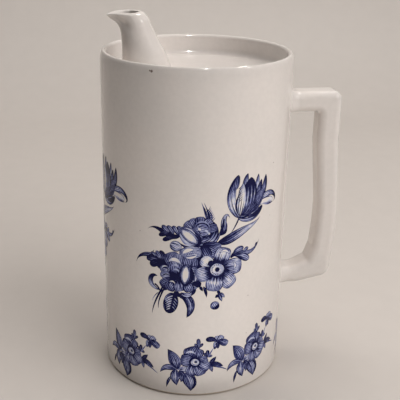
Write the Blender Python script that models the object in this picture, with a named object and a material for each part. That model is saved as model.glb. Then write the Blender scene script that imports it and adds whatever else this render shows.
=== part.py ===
"""Olive oil pitcher: a straight glazed jug with a sunken deck, a beaked spout and a square handle.

The handle stands toward +X and the spout toward -X. The jug rests on its foot ring at z = 0, and
the origin is under the middle of the overall length. All sizes are in metres.
"""

import math

import bmesh
import bpy

# Jug body
BODY_DIAMETER = 0.104
RIM_HEIGHT = 0.184
WALL_THICKNESS = 0.0036
FLOOR_THICKNESS = 0.005
FLOOR_FILLET = 0.006
FOOT_RING_WIDTH = 0.006
FOOT_RECESS = 0.0015
FOOT_EDGE_ROUNDING = 0.0018

# The layer of slip between two luted pieces
JOINT_GAP = 0.0003

# Ledge inside the wall that carries the deck
LEDGE_WIDTH = 0.0024
LEDGE_HEIGHT = 0.003
LEDGE_SLOPE = 0.004

# Sunken deck
DECK_DEPTH = 0.0115
DECK_THICKNESS = 0.004
DECK_FILLET = 0.0035
DECK_EDGE_WIDTH = 0.0006
FILL_HOLE_DIAMETER = 0.012
FILL_HOLE_DISTANCE = 0.030
FILL_HOLE_CHAMFER = 0.0012

# Spout
SPOUT_RISE = 0.020
SPOUT_SETBACK = 0.012
SPOUT_ROOT_LENGTH = 0.0264
SPOUT_ROOT_WIDTH = 0.025
SPOUT_LEAN = 0.0143
SPOUT_MOUTH_WIDTH = 0.0132
SPOUT_BEAK = 0.0078
SPOUT_BEAK_DROP = 0.0007
SPOUT_WALL = 0.0026

# Handle
HANDLE_REACH = 0.0322
HANDLE_DROP = 0.023
HANDLE_SPAN = 0.1163
HANDLE_WIDTH = 0.016
HANDLE_ROUNDING = 0.0035
GRIP_THICKNESS = 0.0118
UPPER_ARM_THICKNESS = 0.0114
LOWER_ARM_THICKNESS = 0.0092
HANDLE_CORNER_RADIUS = 0.0065
HANDLE_ROOT_FLARE = 0.0018
HANDLE_ROOT_RISE = 0.0036
HANDLE_ROOT_RADIUS = 0.0036

# How far a cutter runs past what it cuts, and how near two turned points are when they become one
CUT_OVERRUN = 0.004
MERGE_DISTANCE = 0.00001

# Facets
ROUND_STEPS = 64
FILLET_STEPS = 5
LIP_STEPS = 8
SPOUT_SIDES = 32
SPOUT_LIP_STEPS = 4
HOLE_STEPS = 32
CORNER_STEPS = 5
HANDLE_EDGE_STEPS = 4
SHARP_ANGLE = math.radians(40)
ROUNDED_EDGE_ANGLE = math.radians(60)

# Worked out from the sizes above
BODY_RADIUS = BODY_DIAMETER / 2
BORE_RADIUS = BODY_RADIUS - WALL_THICKNESS
DECK_TOP = RIM_HEIGHT - DECK_DEPTH
DECK_UNDERSIDE = DECK_TOP - DECK_THICKNESS
DECK_RADIUS = BORE_RADIUS - JOINT_GAP
LEDGE_TOP = DECK_UNDERSIDE - JOINT_GAP
SPOUT_HEIGHT = DECK_DEPTH + SPOUT_RISE
HANDLE_TOP = RIM_HEIGHT - HANDLE_DROP
HANDLE_BOTTOM = HANDLE_TOP - HANDLE_SPAN
AXIS_X = -HANDLE_REACH / 2

# Spout, from its root to its mouth: height and beak at the outer side, height and lean at the
# inner side, and how far the width has gone from the root's to the mouth's
SPOUT_STATION_SHARES = [
    (0.00, 0.00, 0.00, 0.00, 0.00),
    (0.20, 0.00, 0.20, 0.12, 0.15),
    (0.40, 0.00, 0.36, 0.26, 0.32),
    (0.54, 0.02, 0.50, 0.43, 0.48),
    (0.65, 0.06, 0.64, 0.59, 0.63),
    (0.73, 0.13, 0.75, 0.70, 0.75),
    (0.79, 0.24, 0.85, 0.80, 0.85),
    (0.85, 0.45, 0.92, 0.87, 0.92),
    (0.91, 0.75, 0.97, 0.94, 0.97),
    (1.00, 1.00, 1.00, 1.00, 1.00),
]
SPOUT_PINCH_SHARE = 0.4
SPOUT_WIDEST_SHARE = 0.42

# Handle outline, from the upper root round to the lower root: outer point as a share of the reach
# and of the span, the step inward as a share of the grip and upward as a share of the arm, and the
# outer and inner corner radii as shares of the corner's
HANDLE_STATION_SHARES = [
    (0.892, 1.000, 1.00, -1.00, 0.5, 0.3),
    (0.901, 0.708, 1.01, 0.00, 5.0, 5.0),
    (1.000, 0.350, 0.96, 0.00, 4.0, 4.0),
    (0.955, 0.190, 0.97, 0.00, 3.0, 1.6),
    (0.905, 0.040, 1.15, 1.00, 1.1, 0.7),
    (0.386, 0.006, 0.15, 1.22, 2.0, 2.0),
]
CORNER_REACH_SHARE = 0.45

# Glazes: colour, roughness and coat
GLAZES = {
    "body_glaze": ((0.74, 0.71, 0.67), 0.12, 0.4),
    "deck_glaze": ((0.73, 0.70, 0.66), 0.14, 0.4),
    "spout_glaze": ((0.74, 0.71, 0.67), 0.13, 0.4),
    "handle_glaze": ((0.75, 0.72, 0.68), 0.12, 0.4),
}


def clear_scene():
    for thing in list(bpy.data.objects):
        bpy.data.objects.remove(thing, do_unlink=True)


def make_glaze(name):
    colour, roughness, coat = GLAZES[name]
    material = bpy.data.materials.new(name)
    material.use_nodes = True
    shader = material.node_tree.nodes["Principled BSDF"]
    shader.inputs["Base Color"].default_value = (*colour, 1.0)
    shader.inputs["Roughness"].default_value = roughness
    shader.inputs["Metallic"].default_value = 0.0
    shader.inputs["Coat Weight"].default_value = coat
    return material


def add_object(name, mesh, parent, material=None):
    thing = bpy.data.objects.new(name, mesh)
    bpy.context.scene.collection.objects.link(thing)
    thing.parent = parent
    if material is not None:
        mesh.materials.append(material)
    return thing


def shade_round(mesh):
    mesh.shade_smooth()
    mesh.set_sharp_from_angle(angle=SHARP_ANGLE)


def arc(centre, radius, start, end, steps):
    """Points round a centre, from one angle in degrees to another."""
    points = []
    for step in range(steps + 1):
        angle = math.radians(start + (end - start) * step / steps)
        points.append((centre[0] + radius * math.cos(angle), centre[1] + radius * math.sin(angle)))
    return points


def turned_object(name, outline, parent, material):
    """A solid of revolution about Z, from an outline of (radius, height) that runs down its outer side."""
    mesh = bpy.data.meshes.new(name)
    points = [(radius, 0.0, height) for radius, height in outline]
    edges = [(index, index + 1) for index in range(len(points) - 1)]
    mesh.from_pydata(points, edges, [])
    thing = add_object(name, mesh, parent, material)
    screw = thing.modifiers.new("Turn", "SCREW")
    screw.axis = "Z"
    screw.angle = 2 * math.pi
    screw.steps = ROUND_STEPS
    screw.render_steps = ROUND_STEPS
    screw.use_merge_vertices = True
    screw.merge_threshold = MERGE_DISTANCE
    screw.use_smooth_shade = True
    return thing


def cut(thing, cutter, name):
    """Takes the cutter out of the thing, and leaves the cutter as a wire guide."""
    boolean = thing.modifiers.new(name, "BOOLEAN")
    boolean.operation = "DIFFERENCE"
    boolean.solver = "EXACT"
    boolean.object = cutter
    cutter.hide_render = True
    cutter.display_type = "WIRE"


def bridge(bm, lower, upper):
    """Quads between two closed rings of points."""
    count = len(lower)
    for index in range(count):
        after = (index + 1) % count
        bm.faces.new((lower[index], lower[after], upper[after], upper[index]))


def body_outline():
    lip = WALL_THICKNESS / 2
    ring_inner = BODY_RADIUS - FOOT_RING_WIDTH
    ledge_inner = BORE_RADIUS - LEDGE_WIDTH
    outline = [(0.0, FLOOR_THICKNESS)]
    floor_centre = (BORE_RADIUS - FLOOR_FILLET, FLOOR_THICKNESS + FLOOR_FILLET)
    outline += arc(floor_centre, FLOOR_FILLET, -90, 0, FILLET_STEPS)
    outline.append((BORE_RADIUS, LEDGE_TOP - LEDGE_HEIGHT - LEDGE_SLOPE))
    outline.append((ledge_inner, LEDGE_TOP - LEDGE_HEIGHT))
    outline.append((ledge_inner, LEDGE_TOP))
    outline.append((BORE_RADIUS, LEDGE_TOP))
    outline += arc((BODY_RADIUS - lip, RIM_HEIGHT - lip), lip, 180, 0, LIP_STEPS)
    foot_centre = (BODY_RADIUS - FOOT_EDGE_ROUNDING, FOOT_EDGE_ROUNDING)
    outline += arc(foot_centre, FOOT_EDGE_ROUNDING, 0, -90, FILLET_STEPS)
    outline.append((ring_inner, 0.0))
    outline.append((ring_inner - FOOT_RECESS, FOOT_RECESS))
    outline.append((0.0, FOOT_RECESS))
    return outline


def deck_outline():
    fillet_start = DECK_RADIUS - DECK_EDGE_WIDTH - DECK_FILLET
    outline = [(0.0, DECK_TOP)]
    outline += arc((fillet_start, DECK_TOP + DECK_FILLET), DECK_FILLET, -90, 0, FILLET_STEPS)
    outline.append((DECK_RADIUS, DECK_TOP + DECK_FILLET))
    outline.append((DECK_RADIUS, DECK_UNDERSIDE))
    outline.append((0.0, DECK_UNDERSIDE))
    return outline


def spout_ring(station, inset, lift):
    """The points of the spout's section at one station, drawn in by the inset and raised by the lift."""
    outer_height, beak, inner_height, lean, narrowing = station
    climb = SPOUT_HEIGHT - JOINT_GAP - SPOUT_WALL / 2
    outer_x = -(BODY_RADIUS - SPOUT_SETBACK) - beak * SPOUT_BEAK + inset
    inner_x = -(BODY_RADIUS - SPOUT_SETBACK) + SPOUT_ROOT_LENGTH - lean * SPOUT_LEAN - inset
    outer_z = DECK_TOP + JOINT_GAP + outer_height * (climb - SPOUT_BEAK_DROP) + lift
    inner_z = DECK_TOP + JOINT_GAP + inner_height * climb + lift
    width = SPOUT_ROOT_WIDTH + narrowing * (SPOUT_MOUTH_WIDTH - SPOUT_ROOT_WIDTH)
    half_width = width / 2 - inset
    middle_share = 0.5 - beak * (0.5 - SPOUT_WIDEST_SHARE)
    middle_x = inner_x + (outer_x - inner_x) * middle_share
    points = []
    for side in range(SPOUT_SIDES):
        angle = 2 * math.pi * side / SPOUT_SIDES
        toward_beak = -math.cos(angle)
        reach = middle_x - outer_x if toward_beak > 0 else inner_x - middle_x
        x = middle_x - toward_beak * reach
        pinch = 1 - SPOUT_PINCH_SHARE * beak * max(0.0, toward_beak)
        y = half_width * math.sin(angle) * pinch
        along = (x - inner_x) / (outer_x - inner_x)
        points.append((x, y, inner_z + (outer_z - inner_z) * along))
    return points


def spout_rings():
    """Rings up the outside, over the lip and down the bore."""
    rings = [spout_ring(station, 0.0, 0.0) for station in SPOUT_STATION_SHARES]
    for step in range(1, SPOUT_LIP_STEPS):
        angle = math.pi * step / SPOUT_LIP_STEPS
        inset = SPOUT_WALL / 2 * (1 - math.cos(angle))
        rings.append(spout_ring(SPOUT_STATION_SHARES[-1], inset, SPOUT_WALL / 2 * math.sin(angle)))
    for station in reversed(SPOUT_STATION_SHARES):
        rings.append(spout_ring(station, SPOUT_WALL, 0.0))
    return rings


def build_body(parent, material):
    return turned_object("jug_body", body_outline(), parent, material)


def fill_hole_cutter(parent):
    """A straight hole with a chamfered mouth, through the deck on the handle's side."""
    radius = FILL_HOLE_DIAMETER / 2
    outline = [
        (0.0, DECK_TOP + CUT_OVERRUN),
        (radius + FILL_HOLE_CHAMFER + CUT_OVERRUN, DECK_TOP + CUT_OVERRUN),
        (radius, DECK_TOP - FILL_HOLE_CHAMFER),
        (radius, DECK_UNDERSIDE - CUT_OVERRUN),
        (0.0, DECK_UNDERSIDE - CUT_OVERRUN),
    ]
    cutter = turned_object("fill_hole_cutter", outline, parent, None)
    cutter.modifiers["Turn"].steps = HOLE_STEPS
    cutter.modifiers["Turn"].render_steps = HOLE_STEPS
    cutter.location.x = FILL_HOLE_DISTANCE
    return cutter


def spout_hole_cutter(parent):
    """A prism through the deck, with the section of the bore at the spout's root."""
    section = spout_ring(SPOUT_STATION_SHARES[0], SPOUT_WALL, 0.0)
    bm = bmesh.new()
    levels = (DECK_UNDERSIDE - CUT_OVERRUN, DECK_TOP + CUT_OVERRUN)
    rings = [[bm.verts.new((x, y, level)) for x, y, _ in section] for level in levels]
    bridge(bm, rings[0], rings[1])
    bm.faces.new(reversed(rings[0]))
    bm.faces.new(rings[1])
    bmesh.ops.recalc_face_normals(bm, faces=bm.faces)
    mesh = bpy.data.meshes.new("spout_hole_cutter")
    bm.to_mesh(mesh)
    bm.free()
    return add_object("spout_hole_cutter", mesh, parent)


def build_deck(parent, material):
    deck = turned_object("deck", deck_outline(), parent, material)
    cut(deck, spout_hole_cutter(parent), "Spout hole")
    cut(deck, fill_hole_cutter(parent), "Fill hole")
    return deck


def build_spout(parent, material):
    bm = bmesh.new()
    rings = [[bm.verts.new(point) for point in ring] for ring in spout_rings()]
    for lower, upper in zip(rings, rings[1:]):
        bridge(bm, lower, upper)
    bridge(bm, rings[-1], rings[0])
    bmesh.ops.recalc_face_normals(bm, faces=bm.faces)
    mesh = bpy.data.meshes.new("spout")
    bm.to_mesh(mesh)
    bm.free()
    shade_round(mesh)
    return add_object("spout", mesh, parent, material)


def rounded_outline(corners):
    """A closed outline through corners of (x, z, radius), with an arc at each that has a radius."""
    points = []
    count = len(corners)
    for index, (x, z, radius) in enumerate(corners):
        before = corners[index - 1]
        after = corners[(index + 1) % count]
        back = (before[0] - x, before[1] - z)
        ahead = (after[0] - x, after[1] - z)
        back_length = math.hypot(*back)
        ahead_length = math.hypot(*ahead)
        back = (back[0] / back_length, back[1] / back_length)
        ahead = (ahead[0] / ahead_length, ahead[1] / ahead_length)
        opening = math.acos(max(-1.0, min(1.0, back[0] * ahead[0] + back[1] * ahead[1])))
        limit = CORNER_REACH_SHARE * min(back_length, ahead_length)
        reach = min(radius / math.tan(opening / 2), limit)
        if reach <= 0:
            points.append((x, z))
            continue
        start = (x + back[0] * reach, z + back[1] * reach)
        end = (x + ahead[0] * reach, z + ahead[1] * reach)
        for step in range(CORNER_STEPS + 1):
            t = step / CORNER_STEPS
            # With this weight the rational curve is an arc of a circle
            weight = math.sin(opening / 2)
            scale = (1 - t) ** 2 + 2 * weight * t * (1 - t) + t**2
            px = ((1 - t) ** 2 * start[0] + 2 * weight * t * (1 - t) * x + t**2 * end[0]) / scale
            pz = ((1 - t) ** 2 * start[1] + 2 * weight * t * (1 - t) * z + t**2 * end[1]) / scale
            points.append((px, pz))
    return points


def handle_corners():
    """The handle's outline in its own plane: down the outer side, and back along the inner side."""
    root_x = BODY_RADIUS - WALL_THICKNESS / 2
    flare_x = BODY_RADIUS + HANDLE_ROOT_FLARE
    upper_underside = HANDLE_TOP - UPPER_ARM_THICKNESS
    lower_top = HANDLE_BOTTOM + LOWER_ARM_THICKNESS
    outer = [(root_x, HANDLE_TOP + HANDLE_ROOT_RISE, 0.0), (flare_x, HANDLE_TOP, HANDLE_ROOT_RADIUS)]
    inner = [
        (root_x, upper_underside - HANDLE_ROOT_FLARE, 0.0),
        (flare_x, upper_underside, HANDLE_ROOT_RADIUS),
    ]
    for reach, span, inward, upward, outer_bend, inner_bend in HANDLE_STATION_SHARES:
        x = BODY_RADIUS + reach * HANDLE_REACH
        z = HANDLE_BOTTOM + span * HANDLE_SPAN
        arm = UPPER_ARM_THICKNESS if upward < 0 else LOWER_ARM_THICKNESS
        outer.append((x, z, outer_bend * HANDLE_CORNER_RADIUS))
        inner.append((x - inward * GRIP_THICKNESS, z + upward * arm, inner_bend * HANDLE_CORNER_RADIUS))
    outer += [
        (flare_x, HANDLE_BOTTOM, HANDLE_ROOT_RADIUS),
        (root_x, HANDLE_BOTTOM - HANDLE_ROOT_FLARE, 0.0),
    ]
    inner += [(flare_x, lower_top, HANDLE_ROOT_RADIUS), (root_x, lower_top + HANDLE_ROOT_RISE, 0.0)]
    return outer + inner[::-1]


def wall_cutter(parent):
    """The jug's outer wall with the joint's gap, which shapes the handle's ends."""
    mesh = bpy.data.meshes.new("wall_cutter")
    bm = bmesh.new()
    height = HANDLE_SPAN + 2 * (HANDLE_ROOT_RISE + CUT_OVERRUN)
    radius = BODY_RADIUS + JOINT_GAP
    bmesh.ops.create_cone(
        bm, cap_ends=True, segments=ROUND_STEPS, radius1=radius, radius2=radius, depth=height
    )
    bm.to_mesh(mesh)
    bm.free()
    cutter = add_object("wall_cutter", mesh, parent)
    cutter.location.z = (HANDLE_TOP + HANDLE_BOTTOM) / 2
    return cutter


def build_handle(parent, material):
    bm = bmesh.new()
    outline = rounded_outline(handle_corners())
    near = bm.faces.new([bm.verts.new((x, -HANDLE_WIDTH / 2, z)) for x, z in outline])
    grown = bmesh.ops.extrude_face_region(bm, geom=[near])
    far = [item for item in grown["geom"] if isinstance(item, bmesh.types.BMVert)]
    bmesh.ops.translate(bm, verts=far, vec=(0.0, HANDLE_WIDTH, 0.0))
    bmesh.ops.recalc_face_normals(bm, faces=bm.faces)
    mesh = bpy.data.meshes.new("handle")
    bm.to_mesh(mesh)
    bm.free()
    shade_round(mesh)
    handle = add_object("handle", mesh, parent, material)
    bevel = handle.modifiers.new("Rounded edges", "BEVEL")
    bevel.width = HANDLE_ROUNDING
    bevel.segments = HANDLE_EDGE_STEPS
    bevel.use_clamp_overlap = False
    bevel.limit_method = "ANGLE"
    bevel.angle_limit = ROUNDED_EDGE_ANGLE
    cut(handle, wall_cutter(parent), "Wall")
    return handle


def main():
    clear_scene()
    axis = bpy.data.objects.new("jug_axis", None)
    axis.location = (AXIS_X, 0.0, 0.0)
    bpy.context.scene.collection.objects.link(axis)
    build_body(axis, make_glaze("body_glaze"))
    build_deck(axis, make_glaze("deck_glaze"))
    build_spout(axis, make_glaze("spout_glaze"))
    build_handle(axis, make_glaze("handle_glaze"))


main()
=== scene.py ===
import math

import bmesh
import bpy
import numpy as np
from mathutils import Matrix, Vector


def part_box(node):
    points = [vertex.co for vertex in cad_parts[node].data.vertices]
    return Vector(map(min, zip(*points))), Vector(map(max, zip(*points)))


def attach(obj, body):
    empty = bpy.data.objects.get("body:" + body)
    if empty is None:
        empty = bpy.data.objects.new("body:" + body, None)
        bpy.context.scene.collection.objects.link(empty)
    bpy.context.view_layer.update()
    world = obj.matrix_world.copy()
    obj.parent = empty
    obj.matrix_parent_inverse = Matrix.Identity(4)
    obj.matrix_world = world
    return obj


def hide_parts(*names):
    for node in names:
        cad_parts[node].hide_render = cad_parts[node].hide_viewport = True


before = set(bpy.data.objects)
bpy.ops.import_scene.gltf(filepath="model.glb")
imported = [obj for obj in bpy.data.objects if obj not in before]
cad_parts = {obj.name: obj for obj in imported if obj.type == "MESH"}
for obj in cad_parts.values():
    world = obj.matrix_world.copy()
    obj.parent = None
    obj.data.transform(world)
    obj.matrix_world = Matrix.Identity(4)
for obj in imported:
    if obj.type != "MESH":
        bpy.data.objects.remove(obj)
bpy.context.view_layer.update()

# Sizes are in metres, and the painting's in millimetres on the unrolled wall.
jugLow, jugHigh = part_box("jug_body")
deckLow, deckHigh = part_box("deck")
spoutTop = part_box("spout")[1][2]
axisX = (jugLow[0] + jugHigh[0]) / 2
jugRadius = (jugHigh[1] - jugLow[1]) / 2
rimHeight = jugHigh[2]
mm = 0.001


# Working helpers

def clearSelection():
    if bpy.context.object and bpy.context.object.mode != "OBJECT":
        bpy.ops.object.mode_set(mode="OBJECT")
    bpy.ops.object.select_all(action="DESELECT")


def startPiece(name):
    piece = bpy.context.object  # the primitive that was just added
    piece.name = name
    piece.data.name = name
    bpy.ops.object.transform_apply(location=True, rotation=True, scale=True)
    return piece


def pick(piece, kind, test):
    # selects the edges or faces whose points all pass the test
    bpy.ops.mesh.select_mode(type=kind)
    bpy.ops.mesh.select_all(action="DESELECT")
    cage = bmesh.from_edit_mesh(piece.data)
    for item in (cage.edges if kind == "EDGE" else cage.faces):
        item.select_set(all(test(point.co) for point in item.verts))
    bmesh.update_edit_mesh(piece.data)


def radiusOf(co):
    return math.hypot(co.x - axisX, co.y)


def near(value, target, slack=0.00005):
    return abs(value - target) < slack


def pull(x, y, z):
    # extrudes what is selected
    bpy.ops.mesh.extrude_region_move(TRANSFORM_OT_translate={"value": (x, y, z)})


def roundEdges(width, steps):
    bpy.ops.mesh.bevel(offset=width, segments=steps, affect="EDGES", clamp_overlap=False)


def applyModifier(piece, kind, **settings):
    modifier = piece.modifiers.new(kind.title(), kind)
    for key, value in settings.items():
        setattr(modifier, key, value)
    bpy.context.view_layer.objects.active = piece
    bpy.ops.object.modifier_apply(modifier=modifier.name)


def addObject(name, data):
    thing = bpy.data.objects.new(name, data)
    bpy.context.scene.collection.objects.link(thing)
    return thing


def movePoints(piece, mover):
    # every point of the mesh goes through one function of an array of points
    points = np.empty(len(piece.data.vertices) * 3)
    piece.data.vertices.foreach_get("co", points)
    piece.data.vertices.foreach_set("co", mover(points.reshape(-1, 3)).ravel())
    piece.data.update()


def tidyNormals(piece, smoothAngle=35):
    clearSelection()
    piece.select_set(True)
    bpy.context.view_layer.objects.active = piece
    bpy.ops.object.mode_set(mode="EDIT")
    bpy.ops.mesh.select_all(action="SELECT")
    bpy.ops.mesh.normals_make_consistent(inside=False)
    bpy.ops.object.mode_set(mode="OBJECT")
    bpy.ops.object.shade_smooth_by_angle(angle=math.radians(smoothAngle))


def finishPiece(piece, node, glaze):
    piece.data.materials.clear()
    piece.data.materials.append(glaze)
    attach(piece, "root")
    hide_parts(node)


def share(value, start, end):
    return np.clip((value - start) / (end - start), 0, 1)


def eased(value, start, end):
    part = share(value, start, end)
    return part * part * (3 - 2 * part)


# Node helpers

def addNode(tree, kind, inputs=None, **settings):
    node = tree.nodes.new(kind)
    for key, value in settings.items():
        setattr(node, key, value)
    for key, value in (inputs or {}).items():
        if isinstance(value, bpy.types.NodeSocket):
            tree.links.new(value, node.inputs[key])
        else:
            node.inputs[key].default_value = value
    return node


def mathNode(tree, operation, first, second=0.0, third=0.0):
    return addNode(tree, "ShaderNodeMath", {0: first, 1: second, 2: third}, operation=operation).outputs[0]


def times(tree, first, second):
    return mathNode(tree, "MULTIPLY", first, second)


def plus(tree, first, second):
    return mathNode(tree, "ADD", first, second)


def fadeNode(tree, value, start, end, low=0.0, high=1.0):
    inputs = {"Value": value, "From Min": start, "From Max": end, "To Min": low, "To Max": high}
    return addNode(tree, "ShaderNodeMapRange", inputs, interpolation_type="SMOOTHSTEP").outputs[0]


def mixNode(tree, factor, first, second, blend="MIX"):
    return addNode(tree, "ShaderNodeMix", {0: factor, 6: first, 7: second}, data_type="RGBA",
                   blend_type=blend).outputs[2]


def dimNode(tree, colour, amount):
    tint = addNode(tree, "ShaderNodeCombineColor", {0: amount, 1: amount, 2: amount}).outputs[0]
    return mixNode(tree, 1.0, colour, tint, "MULTIPLY")


def noiseNode(tree, vector, scale, detail):
    inputs = {"Vector": vector, "Scale": scale, "Detail": detail}
    return addNode(tree, "ShaderNodeTexNoise", inputs).outputs["Fac"]


def newMaterial(name):
    material = bpy.data.materials.new(name)
    material.use_nodes = True
    tree = material.node_tree
    place = addNode(tree, "ShaderNodeTexCoord").outputs["Object"]
    return material, tree, tree.nodes["Principled BSDF"], place


# Glaze

glazeLook = {
    "white": (0.75, 0.705, 0.672, 1),
    "pooled": (0.71, 0.675, 0.645, 1),
    "thin": (0.78, 0.725, 0.685, 1),
    "bareClay": (0.50, 0.42, 0.34, 1),
    "iron": (0.10, 0.055, 0.035, 1),
    "whiteShare": 0.5,
    "noiseSpan": (0.3, 0.7),      # the part of a noise that is spread from low to high
    "cloudScale": 28.0,
    "mottleScale": 420.0,
    "mottle": (0.98, 1.012),
    "speckScale": 260.0,
    "speckSize": (0.05, 0.09),    # full and faded, as shares of a cell
    "speckRarity": 0.985,
    "speckStrength": 0.7,
    "waveScale": 45.0,
    "wave": (0.12, 0.0015),       # strength and height of the bump
    "peelScale": 900.0,
    "peel": (0.05, 0.0001),
    "patchScale": 84.0,
    "roughness": (0.09, 0.16),
    "ior": 1.5,
    "coat": 0.35,
    "coatRoughness": 0.03,
    "flawScale": 900.0,
    "flawSpan": (0.7, 1.2),       # full and faded, as shares of the flaw's size
    "flawStrength": 0.85,
    "clayLine": 0.0016,           # below this height the foot is bare
    "clayFade": 0.0005,
    "clayRag": 0.0008,
    "clayRagScale": 300.0,
    "clayRoughness": 0.75,
}
flaws = [  # place and size of dark spots: the first two and the last are iron specks burnt into the jug; the three at the left of the lip run together into one dark dash
    ((-0.0442, -0.0436, 0.1812), 0.0010),
    ((-0.0450, -0.0430, 0.1814), 0.0007),
    ((-0.0651, 0.0035, 0.1837), 0.0007),
    ((-0.0644, 0.0004, 0.1835), 0.0007),
    ((-0.0637, -0.0030, 0.1834), 0.0006),
    ((0.0199, -0.0375, 0.1315), 0.0004),
]


def glazeColour(tree, place):
    cloud = noiseNode(tree, place, glazeLook["cloudScale"], 2.0)
    cloud = fadeNode(tree, cloud, *glazeLook["noiseSpan"])
    colour = mixNode(tree, cloud, glazeLook["pooled"], glazeLook["thin"])
    colour = mixNode(tree, glazeLook["whiteShare"], colour, glazeLook["white"])
    mottle = noiseNode(tree, place, glazeLook["mottleScale"], 4.0)
    return dimNode(tree, colour, fadeNode(tree, mottle, *glazeLook["noiseSpan"], *glazeLook["mottle"]))


def pinSpecks(tree, place):
    # a few tiny dots of iron, well apart
    spots = addNode(tree, "ShaderNodeTexVoronoi", {"Vector": place, "Scale": glazeLook["speckScale"]})
    dot = fadeNode(tree, spots.outputs["Distance"], *glazeLook["speckSize"], 1.0, 0.0)
    chance = addNode(tree, "ShaderNodeSeparateColor", {0: spots.outputs["Color"]}).outputs[0]
    rare = mathNode(tree, "GREATER_THAN", chance, glazeLook["speckRarity"])
    return times(tree, times(tree, dot, rare), glazeLook["speckStrength"])


def glazeRelief(tree, shader, place):
    # slow waves of the thrown wall, and the faint skin of the glaze
    skin = {}
    for kind, detail in (("wave", 1.0), ("peel", 2.0)):
        height = noiseNode(tree, place, glazeLook[kind + "Scale"], detail)
        strength, distance = glazeLook[kind]
        inputs = {"Height": height, "Strength": strength, "Distance": distance}
        skin = {"Normal": addNode(tree, "ShaderNodeBump", {**inputs, **skin}).outputs[0]}
    tree.links.new(skin["Normal"], shader.inputs["Normal"])
    patch = noiseNode(tree, place, glazeLook["patchScale"], 2.0)
    gloss = fadeNode(tree, patch, *glazeLook["noiseSpan"], *glazeLook["roughness"])
    tree.links.new(gloss, shader.inputs["Roughness"])


# darkens the glaze to the specks' colour round each listed spot
def addFlaws(tree, place, colour):
    full, faded = glazeLook["flawSpan"]
    for spot, size in flaws:
        wobble = noiseNode(tree, place, glazeLook["flawScale"], 2.0)
        gap = addNode(tree, "ShaderNodeVectorMath", {0: place, 1: spot}, operation="DISTANCE")
        reach = plus(tree, gap.outputs["Value"], times(tree, wobble, size / 2))
        darkening = fadeNode(tree, reach, size * full, size * faded, glazeLook["flawStrength"], 0.0)
        colour = mixNode(tree, darkening, colour, glazeLook["iron"])
    return colour


def bareFoot(tree, shader, place, colour):
    height = addNode(tree, "ShaderNodeSeparateXYZ", {0: place}).outputs["Z"]
    rag = times(tree, noiseNode(tree, place, glazeLook["clayRagScale"], 3.0), glazeLook["clayRag"])
    line = glazeLook["clayLine"]
    bare = fadeNode(tree, plus(tree, height, rag), line, line + glazeLook["clayFade"], 1.0, 0.0)
    glazed = shader.inputs["Roughness"].links[0].from_socket
    rough = mathNode(tree, "MAXIMUM", glazed, times(tree, bare, glazeLook["clayRoughness"]))
    tree.links.new(rough, shader.inputs["Roughness"])
    return mixNode(tree, bare, colour, glazeLook["bareClay"])


def makeGlaze(name, marked=False):
    material, tree, shader, place = newMaterial(name)
    colour = mixNode(tree, pinSpecks(tree, place), glazeColour(tree, place), glazeLook["iron"])
    glazeRelief(tree, shader, place)
    for socket, key in (("IOR", "ior"), ("Coat IOR", "ior"), ("Coat Weight", "coat"),
                        ("Coat Roughness", "coatRoughness")):
        shader.inputs[socket].default_value = glazeLook[key]
    if marked:
        colour = bareFoot(tree, shader, place, addFlaws(tree, place, colour))
    tree.links.new(colour, shader.inputs["Base Color"])
    return material


bodyGlaze = makeGlaze("bodyGlaze", marked=True)
deckGlaze = makeGlaze("deckGlaze")
spoutGlaze = makeGlaze("spoutGlaze")
handleGlaze = makeGlaze("handleGlaze")
print("glazes made")


# Jug body

jug = {
    "sides": 256,
    "paintRoom": 0.0001,      # how far the glaze stays inside the CAD wall, for the painting
    "wall": 0.0036,
    "floor": 0.005,
    "floorFillet": 0.006,
    "floorSteps": 8,
    "ledge": 0.0024,
    "ledgeHeight": 0.003,
    "ledgeSlope": 0.004,
    "ledgeGap": 0.0003,
    "lipShare": 0.495,        # each edge of the rim is rounded by nearly half the wall
    "lipSteps": 12,
    "lipDepth": 0.0070,       # the outer edge of the lip rolls down this far
    "rollSpan": (0.02, 1.05),  # where the roll begins outward and ends downward, in half walls
    "footRing": 0.006,
    "footRecess": 0.0015,
    "footRounding": 0.0016,
    "footSteps": 6,
}
wallRadius = jugRadius - jug["paintRoom"]
boreRadius = jugRadius - jug["wall"]


def makeJugBody():
    clearSelection()
    bpy.ops.mesh.primitive_cylinder_add(vertices=jug["sides"], radius=wallRadius, depth=rimHeight,
                                        location=(axisX, 0, rimHeight / 2))
    body = startPiece("jug")
    bpy.ops.object.mode_set(mode="EDIT")
    hollowJug(body)
    shapeFoot(body)
    shapeLip(body)
    pick(body, "FACE", lambda co: near(co.z, jug["floor"]) or near(co.z, jug["footRecess"]))
    bpy.ops.mesh.poke()
    bpy.ops.object.mode_set(mode="OBJECT")
    movePoints(body, rollLip)
    tidyNormals(body)
    return body


def sinkFace(depth, scale=1.0):
    # pushes the selected face down, and makes it wider or narrower about the jug's axis
    pull(0, 0, -depth)
    if scale != 1.0:
        bpy.ops.transform.resize(value=(scale, scale, 1), center_override=(axisX, 0, 0))


def hollowJug(body):
    ledgeTop = deckLow[2] - jug["ledgeGap"]
    ledgeFoot = ledgeTop - jug["ledgeHeight"] - jug["ledgeSlope"]
    pick(body, "FACE", lambda co: near(co.z, rimHeight))
    bpy.ops.mesh.inset(thickness=wallRadius - boreRadius)
    sinkFace(rimHeight - ledgeTop)
    bpy.ops.mesh.inset(thickness=jug["ledge"])
    sinkFace(jug["ledgeHeight"])
    sinkFace(jug["ledgeSlope"], boreRadius / (boreRadius - jug["ledge"]))
    sinkFace(ledgeFoot - jug["floor"])
    pick(body, "EDGE", lambda co: near(co.z, jug["floor"]) and near(radiusOf(co), boreRadius))
    roundEdges(jug["floorFillet"], jug["floorSteps"])


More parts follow.
